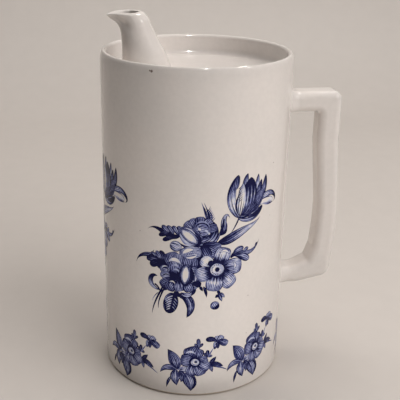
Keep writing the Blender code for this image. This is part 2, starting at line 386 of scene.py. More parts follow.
def shapeFoot(body):
    pick(body, "FACE", lambda co: near(co.z, 0))
    bpy.ops.mesh.inset(thickness=jug["footRing"])
    sinkFace(-jug["footRecess"], 1 - jug["footRecess"] / (wallRadius - jug["footRing"]))
    pick(body, "EDGE", lambda co: near(co.z, 0) and near(radiusOf(co), wallRadius))
    roundEdges(jug["footRounding"], jug["footSteps"])


def shapeLip(body):
    for corner in (wallRadius, boreRadius):
        pick(body, "EDGE", lambda co: near(co.z, rimHeight) and near(radiusOf(co), corner))
        roundEdges((wallRadius - boreRadius) * jug["lipShare"], jug["lipSteps"])


def rollLip(points):
    # the outer quarter of the round lip is drawn down into a longer roll
    half = (wallRadius - boreRadius) / 2
    out = np.hypot(points[:, 0] - axisX, points[:, 1]) - (wallRadius - half)
    depth = rimHeight - points[:, 2]
    outStart, depthEnd = jug["rollSpan"]
    outer = (out > outStart * half) & (depth < depthEnd * half)
    points[outer, 2] = rimHeight - depth[outer] * jug["lipDepth"] / half
    return points


finishPiece(makeJugBody(), "jug_body", bodyGlaze)
print("jug body made")


# Deck

deckSizes = {
    "fillet": 0.0035,
    "filletShare": 0.98,      # how much of the fillet the bevel takes, so that its rows stay apart
    "filletSteps": 10,
    "holeRadius": 0.006,
    "holeDistance": 0.030,
    "holeRounding": 0.0016,
    "holeSides": 64,
    "holeSteps": 8,
    "seat": 0.0001,           # how far the deck's edge goes into the wall
    "overrun": 0.004,
}
deckTop = deckHigh[2] - deckSizes["fillet"]
deckRadius = boreRadius + deckSizes["seat"]


def makeDeck():
    clearSelection()
    height = deckHigh[2] - deckLow[2]
    bpy.ops.mesh.primitive_cylinder_add(vertices=jug["sides"], radius=deckRadius, depth=height,
                                        location=(axisX, 0, deckLow[2] + height / 2))
    deck = startPiece("deckDisc")
    bpy.ops.object.mode_set(mode="EDIT")
    pick(deck, "FACE", lambda co: near(co.z, deckHigh[2]))
    bpy.ops.mesh.inset(thickness=deckSizes["seat"] * 2)
    sinkFace(deckSizes["fillet"])
    pick(deck, "EDGE", lambda co: near(co.z, deckTop) and radiusOf(co) > boreRadius / 2)
    roundEdges(deckSizes["fillet"] * deckSizes["filletShare"], deckSizes["filletSteps"])
    bpy.ops.object.mode_set(mode="OBJECT")
    for cutter in (fillHolePunch(), spoutHolePunch()):
        applyModifier(deck, "BOOLEAN", operation="DIFFERENCE", solver="EXACT", object=cutter)
        bpy.data.objects.remove(cutter)
    tidyNormals(deck)
    return deck


def fillHolePunch():
    # a straight punch whose upper end flares in a quarter round
    clearSelection()
    bottom = deckLow[2] - deckSizes["overrun"]
    radius, rounding = deckSizes["holeRadius"], deckSizes["holeRounding"]
    height = deckTop - rounding - bottom
    centreX = axisX + deckSizes["holeDistance"]
    bpy.ops.mesh.primitive_cylinder_add(vertices=deckSizes["holeSides"], radius=radius, depth=height,
                                        location=(centreX, 0, bottom + height / 2))
    punch = startPiece("fillHolePunch")
    bpy.ops.object.mode_set(mode="EDIT")
    pick(punch, "FACE", lambda co: near(co.z, bottom + height))
    turns = np.linspace(0, math.pi / 2, deckSizes["holeSteps"] + 1)
    widths = radius + rounding * (1 - np.cos(turns))
    for rise, wider in zip(rounding * np.diff(np.sin(turns)), widths[1:] / widths[:-1]):
        pull(0, 0, rise)
        bpy.ops.transform.resize(value=(wider, wider, 1), center_override=(centreX, 0, 0))
    pull(0, 0, deckSizes["overrun"])
    bpy.ops.object.mode_set(mode="OBJECT")
    return punch


def spoutHolePunch():
    clearSelection()
    height = deckHigh[2] - deckLow[2] + 2 * deckSizes["overrun"]
    length = spoutSizes["rootLength"] / 2 - spoutSizes["wall"]
    width = spoutSizes["rootWidth"] / 2 - spoutSizes["wall"]
    place = (axisX - jugRadius + spoutSizes["setback"] + spoutSizes["rootLength"] / 2, 0, deckTop)
    bpy.ops.mesh.primitive_cylinder_add(vertices=deckSizes["holeSides"], radius=1, depth=height,
                                        location=place)
    bpy.ops.transform.resize(value=(length, width, 1), center_override=place)
    return startPiece("spoutHolePunch")


# Spout

spoutSizes = {
    "sides": 160,
    "rings": 200,
    "wall": 0.0026,
    "setback": 0.012,
    "rootLength": 0.0264,
    "rootWidth": 0.025,
    "rootFillet": 0.0022,
    "lean": 0.0143,
    "mouthWidth": 0.0132,
    "beak": 0.0078,
    "beakDrop": 0.0003,
    "beakSpan": (0.15, 0.85),     # from the sides to the beak, by how far a place faces it
    "tipDrop": 0.0010,
    "tilt": 0.08,                 # the mouth leans toward the near side
    "farEdge": 0.0048,
    "dropSpan": (0.72, 1),        # shares of the height in which the drop and the tilt come in
    "pinch": 0.4,
    "pinchedWall": 0.35,          # how much thinner the wall is at the sides of the beak
    "widest": 0.42,
    "gutter": 0.0004,
    "gutterWidth": 0.0012,
    "gutterSpan": (0.2, 0.9),
    "gutterTurn": (0.25, 0.6),
    "valley": 0.0021,             # hollow at each side under the beak, from the neck up to the tip
    "valleyHeights": (0.45, 0.84, 0.95, 1.0),
    "valleyAngles": (52, 34),
    "valleyWidth": 22,
    "lipPart": (0.4, 0.6),        # shares of the tube: outside up to the first, inside past the last
    "lipTurns": ((0, 0.5), (0.5, 0.75), (0.75, 1)),   # up to the crest, across it, and down inside
    "lipRun": (0.0008, 0.0017, 0.0030),   # rounding of the lip inward at the beak, side and back
    "lipFall": (0.0006, 0.0008, 0.0018),
    "lipStart": (0.0, 0.15, 0.75),
    "lipExtra": (0.0037, 0.0003, 0.0015),
    "lipEdge": 0.0005,
    "liftSpan": (0.6, 1),
    "boreSpan": (0.75, 1),
    "ramp": 0.0009,               # how far the beak's top slopes into the mouth
    "smoothAngle": 60,
}
# from root to mouth: outer height, beak, inner height, lean, narrowing, as shares
spoutStations = np.array([
    (0.00, 0.00, 0.00, 0.00, 0.00),
    (0.20, 0.00, 0.20, 0.12, 0.15),
    (0.40, 0.00, 0.36, 0.26, 0.32),
    (0.54, 0.02, 0.50, 0.43, 0.48),
    (0.65, 0.05, 0.64, 0.59, 0.63),
    (0.73, 0.11, 0.75, 0.70, 0.75),
    (0.80, 0.23, 0.85, 0.79, 0.85),
    (0.86, 0.45, 0.92, 0.85, 0.92),
    (0.93, 0.76, 0.97, 0.90, 0.97),
    (1.00, 0.98, 1.00, 0.94, 1.00),
])


def smoothStations(t):
    # a smooth curve through the stations
    place = np.clip(t, 0, 1) * (len(spoutStations) - 1)
    low = np.minimum(place.astype(int), len(spoutStations) - 2)
    part = (place - low)[:, None]
    slope = np.gradient(spoutStations, axis=0)
    a, b = spoutStations[low], spoutStations[low + 1]
    sa, sb = slope[low], slope[low + 1]
    return ((2 * part**3 - 3 * part**2 + 1) * a + (part**3 - 2 * part**2 + part) * sa
            + (3 * part**2 - 2 * part**3) * b + (part**3 - part**2) * sb)


def spoutPoints(t, inset, lift, around):
    sizes = spoutSizes
    outerHeight, beak, innerHeight, lean, narrowing = smoothStations(t).T
    climb = spoutTop - deckTop - sizes["wall"] / 2
    outerX = -(jugRadius - sizes["setback"]) - beak * sizes["beak"] + inset
    innerX = -(jugRadius - sizes["setback"]) + sizes["rootLength"] - lean * sizes["lean"] - inset
    outerZ = deckTop + outerHeight * (climb - sizes["beakDrop"]) + lift
    innerZ = deckTop + innerHeight * climb + lift
    width = sizes["rootWidth"] + narrowing * (sizes["mouthWidth"] - sizes["rootWidth"])
    middle = 0.5 - beak * (0.5 - sizes["widest"])
    middleX = innerX + (outerX - innerX) * middle
    toward = -np.cos(around)
    x = middleX - toward * np.where(toward > 0, middleX - outerX, innerX - middleX)
    sideInset = inset * (1 - sizes["pinchedWall"] * eased(toward, *sizes["beakSpan"]))
    pinch = 1 - sizes["pinch"] * beak * np.maximum(0, toward)
    y = (width / 2 - sideInset) * np.sin(around) * pinch
    along = (x - innerX) / (outerX - innerX)
    return np.stack([axisX + x, y, innerZ + (outerZ - innerZ) * along], 1)


def aroundLip(name, toward):
    # a size that changes from the beak over the sides to the back
    beak, side, back = spoutSizes[name]
    toBeak, toBack = eased(toward, *spoutSizes["beakSpan"]), eased(-toward, 0, 1)
    return side + (beak - side) * toBeak + (back - side) * toBack


def lipCurve(over, toward):
    # how far the lip has come inward and up, from its outer edge over the crest to the inside
    sizes = spoutSizes
    run, fall, start = (aroundLip(name, toward) for name in ("lipRun", "lipFall", "lipStart"))
    edge, thick = sizes["lipEdge"], sizes["wall"] + aroundLip("lipExtra", toward)
    ramp = sizes["ramp"] * eased(toward, *sizes["beakSpan"])
    first, flat, last = (share(over, *turn) for turn in sizes["lipTurns"])
    first, last = start + first * (math.pi / 2 - start), last * math.pi / 2
    inset = (run * (1 - np.cos(first) / np.cos(start)) + (thick - edge - run) * flat
             + edge * np.sin(last))
    lift = (fall * (np.sin(first) - 1) / (1 - np.sin(start)) - ramp * flat**2
            - edge * (1 - np.cos(last)) + sizes["wall"] / 2)
    return inset, lift


def valleyDepth(t, toward):
    low, rising, falling, high = spoutSizes["valleyHeights"]
    lowAngle, highAngle = spoutSizes["valleyAngles"]
    middle = lowAngle + (highAngle - lowAngle) * (t - low) / (high - low)
    angle = np.degrees(np.arccos(np.clip(toward, -1, 1)))
    upward = eased(t, low, rising) * (1 - eased(t, falling, high))
    return spoutSizes["valley"] * upward * np.exp(-((angle - middle) / spoutSizes["valleyWidth"]) ** 2)


def shapeSpout(points):
    # the ring's own turn is the way round the spout, and its tube's turn the way up and down
    sizes = spoutSizes
    around = np.arctan2(points[:, 1], points[:, 0])
    toward = -np.cos(around)
    tube = np.arctan2(points[:, 2], np.hypot(points[:, 0], points[:, 1]) - 1) % (2 * math.pi)
    tube /= 2 * math.pi
    lipStart, lipEnd = sizes["lipPart"]
    outer, inner = tube < lipStart, tube > lipEnd
    t = np.where(outer, tube / lipStart, np.where(inner, (1 - tube) / (1 - lipEnd), 1.0))
    over = share(tube, lipStart, lipEnd)
    inset, lift = lipCurve(over, toward)
    lift = np.where(outer | inner, lift * eased(t, *sizes["liftSpan"]), lift)
    inset = np.where(inner, sizes["wall"] + (inset - sizes["wall"]) * eased(t, *sizes["boreSpan"]), inset)
    fillet = sizes["rootFillet"]
    short = np.clip(fillet - t * (spoutTop - deckTop), 0, fillet)
    foot = fillet - np.sqrt(fillet**2 - short**2)
    inset = inset + np.where(outer, valleyDepth(t, toward) - foot, 0)
    points = spoutPoints(t, inset, lift, around)
    drop = sizes["tipDrop"] * np.maximum(0, toward) ** 4
    drop += sizes["tilt"] * (sizes["farEdge"] - points[:, 1])
    channel = sizes["gutter"] * eased(toward, *sizes["gutterSpan"])
    channel *= np.exp(-(points[:, 1] / sizes["gutterWidth"]) ** 2)
    points[:, 2] -= drop * eased(t, *sizes["dropSpan"]) + channel * eased(over, *sizes["gutterTurn"])
    return points


def makeSpout():
    clearSelection()
    bpy.ops.mesh.primitive_torus_add(major_segments=spoutSizes["sides"], minor_segments=spoutSizes["rings"],
                                     major_radius=1, minor_radius=0.5)
    spout = startPiece("pouringSpout")
    movePoints(spout, shapeSpout)
    tidyNormals(spout, spoutSizes["smoothAngle"])
    return spout


finishPiece(makeDeck(), "deck", deckGlaze)
finishPiece(makeSpout(), "spout", spoutGlaze)
print("deck and spout made")


# Handle

grip = {
    "reach": 0.0321,
    "drop": 0.023,
    "span": 0.1163,
    "width": 0.016,
    "thickness": 0.0127,
    "upperArm": 0.0114,
    "lowerArm": 0.0092,
    "cornerRadius": 0.0065,
    "cornerSteps": 12,
    "cornerLimit": 0.45,      # how much of a straight stretch a bend may take
    "rounding": 0.0043,
    "edgeSteps": 8,
    "smoothAngle": 60,
    "rootFillet": 0.0055,
    "rootSpread": (0.35, 0.7),  # how much of it goes below and above the arms
    "rootDepth": 0.0014,      # how far the ends go into the wall
    "rings": 19,              # cuts near the wall, for the fillet of slip
    "ringStart": -0.0006,
    "ringStep": 0.0004,
}
# outer point by reach and span, step inward by grip and upward by arm, outer and inner bends
gripStations = [
    (0.914, 1.003, 1.00, -1.00, 0.80, 0.3),
    (0.917, 0.742, 1.01, 0.00, 5.0, 5.0),
    (1.000, 0.415, 0.96, 0.00, 4.0, 4.0),
    (1.000, 0.295, 0.98, 0.00, 3.0, 2.5),
    (0.972, 0.192, 0.99, 0.00, 2.0, 1.6),
    (0.928, 0.034, 1.10, 1.10, 1.0, 0.3),
    (0.300, -0.004, 0.15, 1.12, 2.0, 2.0),
]
gripTop = rimHeight - grip["drop"]
gripBottom = gripTop - grip["span"]


def gripCorners():
    rootX = jugRadius - grip["rootDepth"]
    outer = [(rootX, gripTop, 0)]
    inner = [(rootX, gripTop - grip["upperArm"], 0)]
    for reach, span, inward, upward, outerBend, innerBend in gripStations:
        x = jugRadius + reach * grip["reach"]
        z = gripBottom + span * grip["span"]
        arm = grip["upperArm"] if upward < 0 else grip["lowerArm"]
        outer.append((x, z, outerBend * grip["cornerRadius"]))
        inner.append((x - inward * grip["thickness"], z + upward * arm, innerBend * grip["cornerRadius"]))
    outer.append((rootX, gripBottom, 0))
    inner.append((rootX, gripBottom + grip["lowerArm"], 0))
    return outer + inner[::-1]


def roundCorners(corners):
    outline = []
    for index, (x, z, radius) in enumerate(corners):
        here = np.array((x, z))
        back = np.array(corners[index - 1][:2]) - here
        ahead = np.array(corners[(index + 1) % len(corners)][:2]) - here
        backLength, aheadLength = np.linalg.norm(back), np.linalg.norm(ahead)
        back, ahead = back / backLength, ahead / aheadLength
        opening = math.acos(np.clip(back @ ahead, -1, 1))
        room = grip["cornerLimit"] * min(backLength, aheadLength)
        reach = min(radius / math.tan(opening / 2), room)
        if reach <= 0:
            outline.append(here)
            continue
        weight = math.sin(opening / 2)
        for t in np.linspace(0, 1, grip["cornerSteps"] + 1):
            shares = np.array(((1 - t) ** 2, 2 * weight * t * (1 - t), t**2))
            ends = np.array((here + back * reach, here, here + ahead * reach))
            outline.append(shares @ ends / shares.sum())
    return np.array(outline)


def makeHandle():
    clearSelection()
    outline = roundCorners(gripCorners())
    bpy.ops.mesh.primitive_circle_add(vertices=len(outline), radius=1, fill_type="NOTHING")
    handle = startPiece("gripLoop")
    side = np.full(len(outline), -grip["width"] / 2)
    movePoints(handle, lambda points: np.stack([axisX + outline[:, 0], side, outline[:, 1]], 1))
    bpy.ops.object.mode_set(mode="EDIT")
    bpy.ops.mesh.select_all(action="SELECT")
    bpy.ops.mesh.edge_face_add()
    pull(0, grip["width"], 0)
    bpy.ops.mesh.select_all(action="SELECT")
    bpy.ops.mesh.normals_make_consistent(inside=False)
    bpy.ops.object.mode_set(mode="OBJECT")
    applyModifier(handle, "BEVEL", width=grip["rounding"], segments=grip["edgeSteps"],
                  use_clamp_overlap=False, limit_method="ANGLE",
                  angle_limit=math.radians(grip["smoothAngle"]))
    bpy.ops.object.mode_set(mode="EDIT")
    for ring in range(grip["rings"]):
        x = axisX + jugRadius + grip["ringStart"] + ring * grip["ringStep"]
        bpy.ops.mesh.select_all(action="SELECT")
        bpy.ops.mesh.bisect(plane_co=(x, 0, 0), plane_no=(1, 0, 0))
    bpy.ops.object.mode_set(mode="OBJECT")
    movePoints(handle, flareRoots)
    tidyNormals(handle, grip["smoothAngle"])
    applyModifier(handle, "WEIGHTED_NORMAL", keep_sharp=True)
    return handle


def flareRoots(points):
    # the arms spread where the slip joins them to the wall
    fillet = grip["rootFillet"]
    fromAxis = np.hypot(points[:, 0] - axisX, points[:, 1])
    short = np.clip(fillet - np.maximum(fromAxis - wallRadius, 0), 0, fillet)
    flare = fillet - np.sqrt(fillet**2 - short**2)
    upper = points[:, 2] > (gripTop + gripBottom) / 2
    middle = np.where(upper, gripTop - grip["upperArm"] / 2, gripBottom + grip["lowerArm"] / 2)
    away = np.stack([points[:, 1] / grip["width"], (points[:, 2] - middle) / grip["upperArm"]], 1)
    away /= np.maximum(np.linalg.norm(away, axis=1), 1e-6)[:, None]
    below, above = grip["rootSpread"]
    points[:, 1] += flare * away[:, 0]
    points[:, 2] += flare * away[:, 1] * np.where(away[:, 1] > 0, above, below)
    points[:, 0] = axisX + np.sqrt(fromAxis**2 - points[:, 1] ** 2)
    return points


finishPiece(makeHandle(), "handle", handleGlaze)
print("handle made")


# Blue painting. A mark is (shape, width, tones from root to tip, tones across from left to
# right, points of its middle line, veins), all in millimetres on the unrolled wall.

painting = {
    "front": -98.0,           # degrees round the jug of the place where s is 0
    "cell": 0.6,              # size of a mark's mesh cells
    "fewestCells": (5, 2),
    "endRows": 0.6,           # how much closer the rows of cells are at a mark's ends
    "thinnest": 0.06,
    "thickness": 0.12,
    "baseLift": 0.008,
    "levelLift": 0.0016,
    "levelCell": 0.8,
    "levelStep": (0.3, 0.4),  # how finely a mark is tried on the map, along and across
    "fewestSteps": (8, 3),
    "lineSpacing": 0.95,
    "thinLine": 1.3,          # marks up to this width have no outline and no engraved lines
    "veinWidth": 0.5,
    "veinTones": (1.0, 0.85),
    "veinStart": 0.03,
    "veinReach": (0.62, 0.2, 2.4),  # middle, change from vein to vein, and its phase
    "veinSpread": 0.78,
    "bouquetTurn": 98,        # degrees round the jug from one bouquet to the next
    "borderHeight": 18.5,     # height of the small sprays' middle, about which they are turned
    "borderStrength": 0.86,
}
markShapes = {
    "petal": (0.75, 0.42),
    "cup": (0.62, 0.7),
    "round": (0.45, 0.30),
    "leaf": (0.7, 1.0),
    "blade": (0.55, 1.3),
    "oval": (0.5, 0.5),
    "stem": (0.15, 0.6),
    "crescent": (0.8, 0.8),
    "lobe": (1.1, 0.5),
}
inkLook = {
    "tones": ((0.0, (0.76, 0.73, 0.70)), (0.2, (0.53, 0.56, 0.71)), (0.5, (0.195, 0.22, 0.435)),
              (0.75, (0.064, 0.074, 0.22)), (1.0, (0.004, 0.005, 0.045))),
    "hatch": 0.36,            # engraved lines run along each mark and swell with its tone
    "hatchSwell": (-0.4, 0.3, -0.45, 0.75),   # from and to, and what they become
    "hatchTone": (0.03, 0.3),
    "wobble": 0.7,
    "wobbleScale": 700.0,
    "outline": 0.8,
    "outlineStart": 0.06,     # millimetres
    "outlineWidth": 0.42,
    "rag": 0.12,
    "ragScale": 1500.0,
    "pooling": 0.14,
    "poolScale": 480.0,
    "poolSpan": (0.25, 0.75),
    "poolTone": 0.2,
    "strength": 1.12,
    "thinInk": 0.14,          # below this depth the glaze shows through
    "shine": 0.14,
}


def makeInk():
    material, tree, shader, place = newMaterial("cobaltBlue")
    marks = addNode(tree, "ShaderNodeUVMap", uv_map="marks").outputs[0]
    paint = addNode(tree, "ShaderNodeAttribute", attribute_name="paint")
    tone, edge, inking = addNode(tree, "ShaderNodeSeparateColor", {0: paint.outputs["Color"]}).outputs
    wobble = times(tree, noiseNode(tree, place, inkLook["wobbleScale"], 2.0), inkLook["wobble"])
    across = addNode(tree, "ShaderNodeSeparateXYZ", {0: marks}).outputs["Y"]
    turn = times(tree, plus(tree, across, wobble), 2 * math.pi)
    wave = mathNode(tree, "MULTIPLY_ADD", mathNode(tree, "SINE", turn), 0.5, 0.5)
    swell = fadeNode(tree, mathNode(tree, "SUBTRACT", tone, wave), *inkLook["hatchSwell"])
    drawn = times(tree, fadeNode(tree, tone, *inkLook["hatchTone"]), paint.outputs["Alpha"])
    lines = times(tree, times(tree, swell, inkLook["hatch"]), drawn)
    pool = fadeNode(tree, noiseNode(tree, place, inkLook["poolScale"], 4.0), *inkLook["poolSpan"], -1, 1)
    wet = times(tree, fadeNode(tree, tone, 0.0, inkLook["poolTone"]), inkLook["pooling"])
    rag = times(tree, noiseNode(tree, place, inkLook["ragScale"], 2.0), inkLook["rag"])
    start = inkLook["outlineStart"]
    outline = fadeNode(tree, plus(tree, edge, rag), start, inkLook["outlineWidth"] / 2 + start,
                       inkLook["outline"], 0.0)
    depth = times(tree, plus(tree, tone, lines), inkLook["strength"])
    depth = plus(tree, depth, times(tree, pool, wet))
    depth = plus(tree, depth, times(tree, outline, inking))
    depth.node.use_clamp = True
    ramp = addNode(tree, "ShaderNodeValToRGB", {"Fac": depth})
    points = ramp.color_ramp.elements
    while len(points) < len(inkLook["tones"]):
        points.new(0.5)
    for point, (position, colour) in zip(points, inkLook["tones"]):
        point.position = position
        point.color = (*colour, 1)
    cover = fadeNode(tree, depth, 0.0, inkLook["thinInk"])
    colour = mixNode(tree, cover, glazeColour(tree, place), ramp.outputs["Color"])
    tree.links.new(colour, shader.inputs["Base Color"])
    glazeRelief(tree, shader, place)
    shader.inputs["Specular IOR Level"].default_value = inkLook["shine"]
    return material


def arc(centre, radius, start, end):
    # four points of an arc; angles in degrees, 0 to the right and 90 up
    return [(centre[0] + radius * math.cos(math.radians(turn)),
             centre[1] + radius * math.sin(math.radians(turn))) for turn in np.linspace(start, end, 4)]


def stem(width, tones, points):
    # stems, and most crescents, have one tone from side to side
    return "stem", width, tones, (0, 0), points


def crescent(width, tones, points):
    return "crescent", width, tones, (0, 0), points


def middleLine(points):
    points = np.array(points, float)
    steps = np.r_[0, np.cumsum(np.linalg.norm(np.diff(points, axis=0), axis=1))]
    fits = [np.polyfit(steps / steps[-1], points[:, axis], len(points) - 1) for axis in (0, 1)]

    def evaluate(u):
        spot = np.stack([np.polyval(fit, u) for fit in fits], 1)
        heading = np.stack([np.polyval(np.polyder(fit), u) for fit in fits], 1)
        heading /= np.linalg.norm(heading, axis=1)[:, None]
        return spot, np.stack([heading[:, 1], -heading[:, 0]], 1)
    return evaluate, steps[-1]


def halfWidth(shape, width, u):
    start, end = markShapes[shape]
    peak = start / (start + end)
    size = (u / peak) ** start * ((1 - u) / (1 - peak)) ** end
    return np.maximum(size * width / 2, painting["thinnest"])


def wrap(s, z, lift):
    angle = np.radians(painting["front"]) + s * mm / jugRadius
    radius = wallRadius + lift * mm
    return np.stack([axisX + radius * np.cos(angle), radius * np.sin(angle), z * mm], 1)


def claimLevel(levels, marks):
    # a mark lies one step above all that it overlaps, on a map of small square cells
    cells = set()
    for shape, width, points in marks:
        line, length = middleLine(points)
        along, across = (max(fewest, math.ceil(size / step)) for fewest, size, step in
                         zip(painting["fewestSteps"], (length, width), painting["levelStep"]))
        u = np.linspace(0, 1, along)
        spot, right = line(u)
        for v in np.linspace(-1, 1, across):
            places = (spot + right * (v * halfWidth(shape, width, u))[:, None]) / painting["levelCell"]
            cells.update(map(tuple, np.floor(places).astype(int)))
    level = max(levels.get(cell, 0) for cell in cells) + 1
    levels.update(dict.fromkeys(cells, level))
    return painting["baseLift"] + level * painting["levelLift"]


def paintMark(shape, width, along, across, points, lift):
    line, length = middleLine(points)
    rows, columns = (max(fewest, math.ceil(size / painting["cell"]))
                     for fewest, size in zip(painting["fewestCells"], (length, width)))
    clearSelection()
    bpy.ops.mesh.primitive_grid_add(x_subdivisions=rows, y_subdivisions=columns, size=2)
    mark = bpy.context.object
    flat = np.empty(len(mark.data.vertices) * 3)
    mark.data.vertices.foreach_get("co", flat)
    u = np.clip((flat[0::3] + 1) / 2, 0, 1)
    v = np.clip(-flat[1::3], -1, 1)
    u += painting["endRows"] * ((1 - np.cos(u * math.pi)) / 2 - u)
    spot, right = line(u)
    half = halfWidth(shape, width, u)
    spot = spot + right * (v * half)[:, None]
    movePoints(mark, lambda _: wrap(spot[:, 0], spot[:, 1], lift))
    tone = np.interp(u, np.linspace(0, 1, len(along)), along)
    tone = tone + np.interp(v, np.linspace(-1, 1, len(across)), across)
    edge = (1 - np.abs(v)) * half / 2  # half the way to the outline
    drawn = np.full(len(u), float(width > painting["thinLine"]))
    paint = np.stack([np.clip(tone, 0, 1), edge, drawn, drawn], 1)
    mark.data.color_attributes.new("paint", "FLOAT_COLOR", "POINT").data.foreach_set("color", paint.ravel())
    layer = mark.data.uv_layers.active
    layer.name = "marks"
    lines = max(1, round(width / painting["lineSpacing"]))
    flow = np.stack([u * length / 10, v * lines / 2], 1)  # centimetres along, and engraved lines across
    corner = np.empty(len(mark.data.loops), int)
    mark.data.loops.foreach_get("vertex_index", corner)
    layer.data.foreach_set("uv", flow[corner].ravel())
    return mark


def veinMarks(mark, count):
    # fine dark lines that follow the form of a petal or leaf
    shape, width, points = mark[0], mark[1], mark[4]
    line = middleLine(points)[0]
    reach, change, phase = painting["veinReach"]
    veins = []
    for index in range(count):
        side = (index + 0.5) / count * 2 - 1
        u = np.linspace(painting["veinStart"], reach + change * math.cos(phase * index + width), 4)
        spot, right = line(u)
        path = spot + right * (painting["veinSpread"] * side * halfWidth(shape, width, u))[:, None]
        veins.append(stem(painting["veinWidth"], painting["veinTones"], path))
    return veins


def paintSpray(name, marks, strength=1.0):
    pieces = []
    levels = {}
    families = []
    for mark in marks:  # a list in the list is a family of marks at one level
        family = isinstance(mark, list)
        families.append(mark if family else [mark])
        if len(mark) == 6 and not family:
            families.append(veinMarks(mark, mark[5]))
    for family in families:
        lift = claimLevel(levels, [(mark[0], mark[1], mark[4]) for mark in family])
        for shape, width, along, across, points in (mark[:5] for mark in family):
            along = [tone * strength for tone in along]
            pieces.append(paintMark(shape, width, along, across, points, lift))
    clearSelection()
    for piece in pieces:
        piece.select_set(True)
    bpy.context.view_layer.objects.active = pieces[0]
    bpy.ops.object.join()
    spray = bpy.context.object
    spray.name = spray.data.name = name
    applyModifier(spray, "SOLIDIFY", thickness=painting["thickness"] * mm, offset=-1)
    print(name, "has", max(levels.values()), "levels and", len(spray.data.polygons), "faces")
    return spray


def copySpray(spray, name, turn, rise=0.0, spin=0.0):
    copy = addObject(name, spray.data.copy())
    copy.data.name = name
    front, middle = math.radians(painting["front"]), painting["borderHeight"] * mm
    c, s = math.cos(math.radians(spin)), math.sin(math.radians(spin))

    def carry(points):
        # the spin is made on the unrolled wall
        radius = np.hypot(points[:, 0] - axisX, points[:, 1])
        angle = np.arctan2(points[:, 1], points[:, 0] - axisX) - front
        along = ((angle + math.pi) % (2 * math.pi) - math.pi) * jugRadius
        up = points[:, 2] - middle
        along, up = along * c - up * s, along * s + up * c
        angle = front + along / jugRadius + math.radians(turn)
        return np.stack([axisX + radius * np.cos(angle), radius * np.sin(angle), middle + up + rise * mm], 1)
    movePoints(copy, carry)
    return copy


def finishSpray(spray):
    tidyNormals(spray)
    spray.data.materials.clear()
    spray.data.materials.append(cobaltBlue)
    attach(spray, "root")


# Bouquet

tulip = [
    ("cup", 3.6, (0.5, 0.45, 0.8), (0.3, 0, -0.2), [(27.8, 119), (27.2, 125), (28.5, 129.6)]),
    ("cup", 2.9, (0.3, 0.3, 0.75), (0.3, 0, -0.15), [(34.3, 117), (34.9, 123), (35.4, 128.1)]),
    ("cup", 3.9, (0.55, 0.5, 0.95), (0.1, -0.1, 0.2), [(34, 111), (36, 118), (37.8, 124.8)], 1),
    ("cup", 4, (0.5, 0.45, 0.6, 1), (0.15, -0.15, 0.35), [(35.5, 111), (39.4, 118), (40.9, 126.8)], 1),
    ("leaf", 3.6, (0.7, 0.45, 0.3, 0.3, 0.5, 0.9, 1), (0.35, -0.05, 0.15),
     [(32.5, 110.5), (37.5, 114.2), (43.5, 115.6), (48.4, 114.2), (50.2, 111.4), (48.6, 109.6)], 1),
    ("petal", 3.6, (0.55, 0.05, 0, 0.15), (0, 0, 0.15),
     [(33.5, 110), (38.5, 111.9), (43.5, 112.2), (48, 110.7)]),
    crescent(1.1, (0.3, 0.7, 0.95), [(40, 110.4), (44.5, 109.6), (48.3, 109.7)]),
    crescent(0.8, (0.9, 0.7, 0.8), [(35.5, 112.2), (40.5, 113.7), (45.8, 113)]),
    ("cup", 8.4, (0.8, 0.6, 0.5), (0.2, 0, 0.15), [(25.5, 106.5), (32, 111), (39.8, 119.8)], 5),
    ("cup", 10.8, (0.5, 0.55, 0.8, 1), (0.1, 0, 0.15), [(25, 106.5), (29, 116), (30.6, 127.2)], 6),
    [stem(0.7, (0.4, 0.25, 0.5), [(28, 111.5), (28.9, 117), (28.8, 122)]),
     stem(0.6, (0.45, 0.3, 0.55), [(30.4, 112.5), (31.2, 118), (31, 123)]),
     stem(0.6, (0.45, 0.35, 0.6), [(32.4, 113.5), (33.2, 118), (33.1, 121.8)])],
    ("cup", 5.4, (0.3, 0.02, 0.08, 0.45), (0.2, -0.05, 0.15), [(24, 106), (24.9, 113), (25.8, 124.8)], 3),
    [stem(0.42, (0.9, 0.8), [(23.1, 114.6 + 1.2 * n), (25.7, 116.4 + 1.2 * n)]) for n in range(7)],
    ("cup", 5, (0.45, 0.05, 0.1, 0.55, 1), (0.6, 0, 0.2),
     [(24.2, 105.8), (19.9, 113.5), (22.5, 129.4)], 1),
    ("oval", 2.8, (0.5, 0.65, 0.85), (-0.1, 0, 0.15), [(21.8, 121.8), (22.8, 129.5)]),
    crescent(1, (1, 0.9, 0.95), [(24.2, 106.8), (22.1, 111.5), (24.9, 120.5)]),
    stem(0.6, (0.95, 0.7), [(24.5, 106.6), (26.6, 110.5), (28.2, 115)]),
    ("oval", 4.4, (0.35, 0.3, 0.5, 0.8), (0, -0.05, 0.3), [(23.6, 106), (31, 105), (39.2, 110)], 1),
    crescent(2.5, (0.6, 1, 1), [(29, 105.4), (34, 106.3), (39.1, 109.9)]),
    crescent(1.2, (0.9, 0.95, 0.8), [(21.2, 107.2), (27, 105.8), (35.6, 112.4)]),
    stem(0.85, (0.9, 0.8), [(24.1, 106.2), (22.2, 102), (19.6, 98)]),
]
